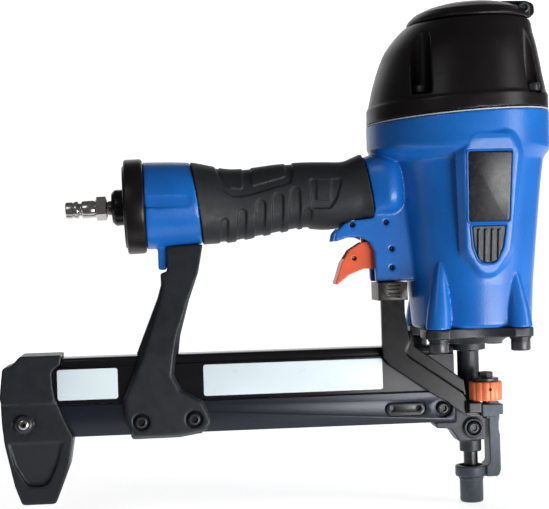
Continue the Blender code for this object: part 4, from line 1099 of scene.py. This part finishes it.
def head_valve_spring():
    """Coil over the head valve with flattened end turns."""
    low, high, wire, radius, turns, per_turn = 275.4, 310.6, 1.2, 33.5, 5, 48
    flat, lie = 0.75, 1.9  # turns at each end that lie almost flat, and their rise per turn
    rings = []
    for i in range(turns * per_turn + 1):
        t = i / per_turn
        free = min(max((t - flat) / (turns - 2 * flat), 0), 1)
        rise = low + wire + lie * (min(t, flat) + max(t - turns + flat, 0))
        rise += (high - low - 2 * (wire + flat * lie)) * free
        a = 2 * math.pi * t
        out = Vector((math.cos(a), math.sin(a), 0))
        rings.append([out * (radius + u) + Vector((0, 0, rise + v)) for u, v in circle(wire, 16)])
    spring = piece("head_valve_coil", shape([loft(rings)]), "bright_steel",
                   nodes=["head_valve_spring"], sharp=60)
    # The valve lifts by 4 mm of the spring's 35.2 mm, and a hair of play is left.
    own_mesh(spring)


# ---------------------------------------------------------------- stage, light, camera

def stage():
    """Pale floor that curves up into a plain wall behind the tool."""
    profile = [(-0.12, 0.0), (0.9, 0.0)]
    profile += [(0.9 + 0.6 * math.sin(a), 0.6 - 0.6 * math.cos(a))
                for a in (math.pi / 2 * k / 12 for k in range(1, 13))]
    profile.append((1.5, 1.7))
    mesh = bpy.data.meshes.new("studio_sweep")
    points, faces = [], []
    for x in (-1.3, 1.3):
        points += [(x, y, z) for y, z in profile]
    count = len(profile)
    for i in range(count - 1):
        faces.append((i, i + 1, count + i + 1, count + i))
    mesh.from_pydata(points, [], faces)
    mesh.shade_smooth()
    n = Nodes("studio_paper")
    n.set(Base_Color=n.ramp(n.noise(300.0), (0.86, 0.86, 0.86), (0.88, 0.88, 0.88)), Roughness=0.9,
          Emission_Color=(1, 1, 1, 1), Emission_Strength=0.72)
    mesh.materials.append(n.material)
    floor = bpy.data.objects.new("studio_sweep", mesh)
    bpy.context.scene.collection.objects.link(floor)


def softbox(name, place, target, size, power):
    light = bpy.data.lights.new(name, "AREA")
    light.shape = "RECTANGLE"
    light.size, light.size_y = size
    light.energy = power
    obj = bpy.data.objects.new(name, light)
    obj.location = place
    aim = Vector(target) - Vector(place)
    obj.rotation_euler = aim.to_track_quat("-Z", "Y").to_euler()
    bpy.context.scene.collection.objects.link(obj)


def studio_light():
    softbox("low_front", (0.70, -0.95, -0.22), (0.03, 0.0, 0.16), (0.8, 0.4), 15.0)
    softbox("right_front", (1.05, -0.50, 0.34), (0.1, 0.0, 0.2), (0.35, 0.7), 4.5)
    softbox("left_top", (-0.7, -1.0, 0.9), (0.0, 0.0, 0.16), (0.5, 0.5), 1.5)
    world = bpy.data.worlds.new("studio")
    world.use_nodes = True
    world.node_tree.nodes["Background"].inputs["Color"].default_value = (1, 1, 1, 1)
    world.node_tree.nodes["Background"].inputs["Strength"].default_value = 0.11
    bpy.context.scene.world = world


def camera():
    """Level view turned 5 degrees, with the tool leaning slightly in the picture."""
    yaw, roll = math.radians(5.0), math.radians(1.7)
    forward = Vector((math.sin(yaw), math.cos(yaw), 0))
    right = Vector((math.cos(yaw), -math.sin(yaw), 0))
    up = Vector((0, 0, 1))
    tilted_right = right * math.cos(roll) - up * math.sin(roll)
    tilted_up = right * math.sin(roll) + up * math.cos(roll)
    data = bpy.data.cameras.new("camera")
    data.lens, data.sensor_width, data.clip_start = 89.8, 36.0, 0.05
    obj = bpy.data.objects.new("camera", data)
    aim, distance = Vector((-0.0028, 0, 0.1742)), 0.9343
    turn = Matrix((tilted_right, tilted_up, -forward)).transposed().to_4x4()
    obj.matrix_world = Matrix.Translation(aim - forward * distance) @ turn
    bpy.context.scene.collection.objects.link(obj)
    bpy.context.scene.camera = obj


housing()
nameplates()
head_cap()
deflector()
gasket()
cap_screws()
base_screws()
side_screws()
nose()
magazine()
magazine_bracket()
boot()
grip()
inlet()
pins()
trigger()
arm_guide()
safety_arm()
contact_bracket()
depth_wheel()
hidden_parts()
head_valve_spring()
stage()
studio_light()
camera()
bpy.context.scene.view_settings.view_transform = "Standard"
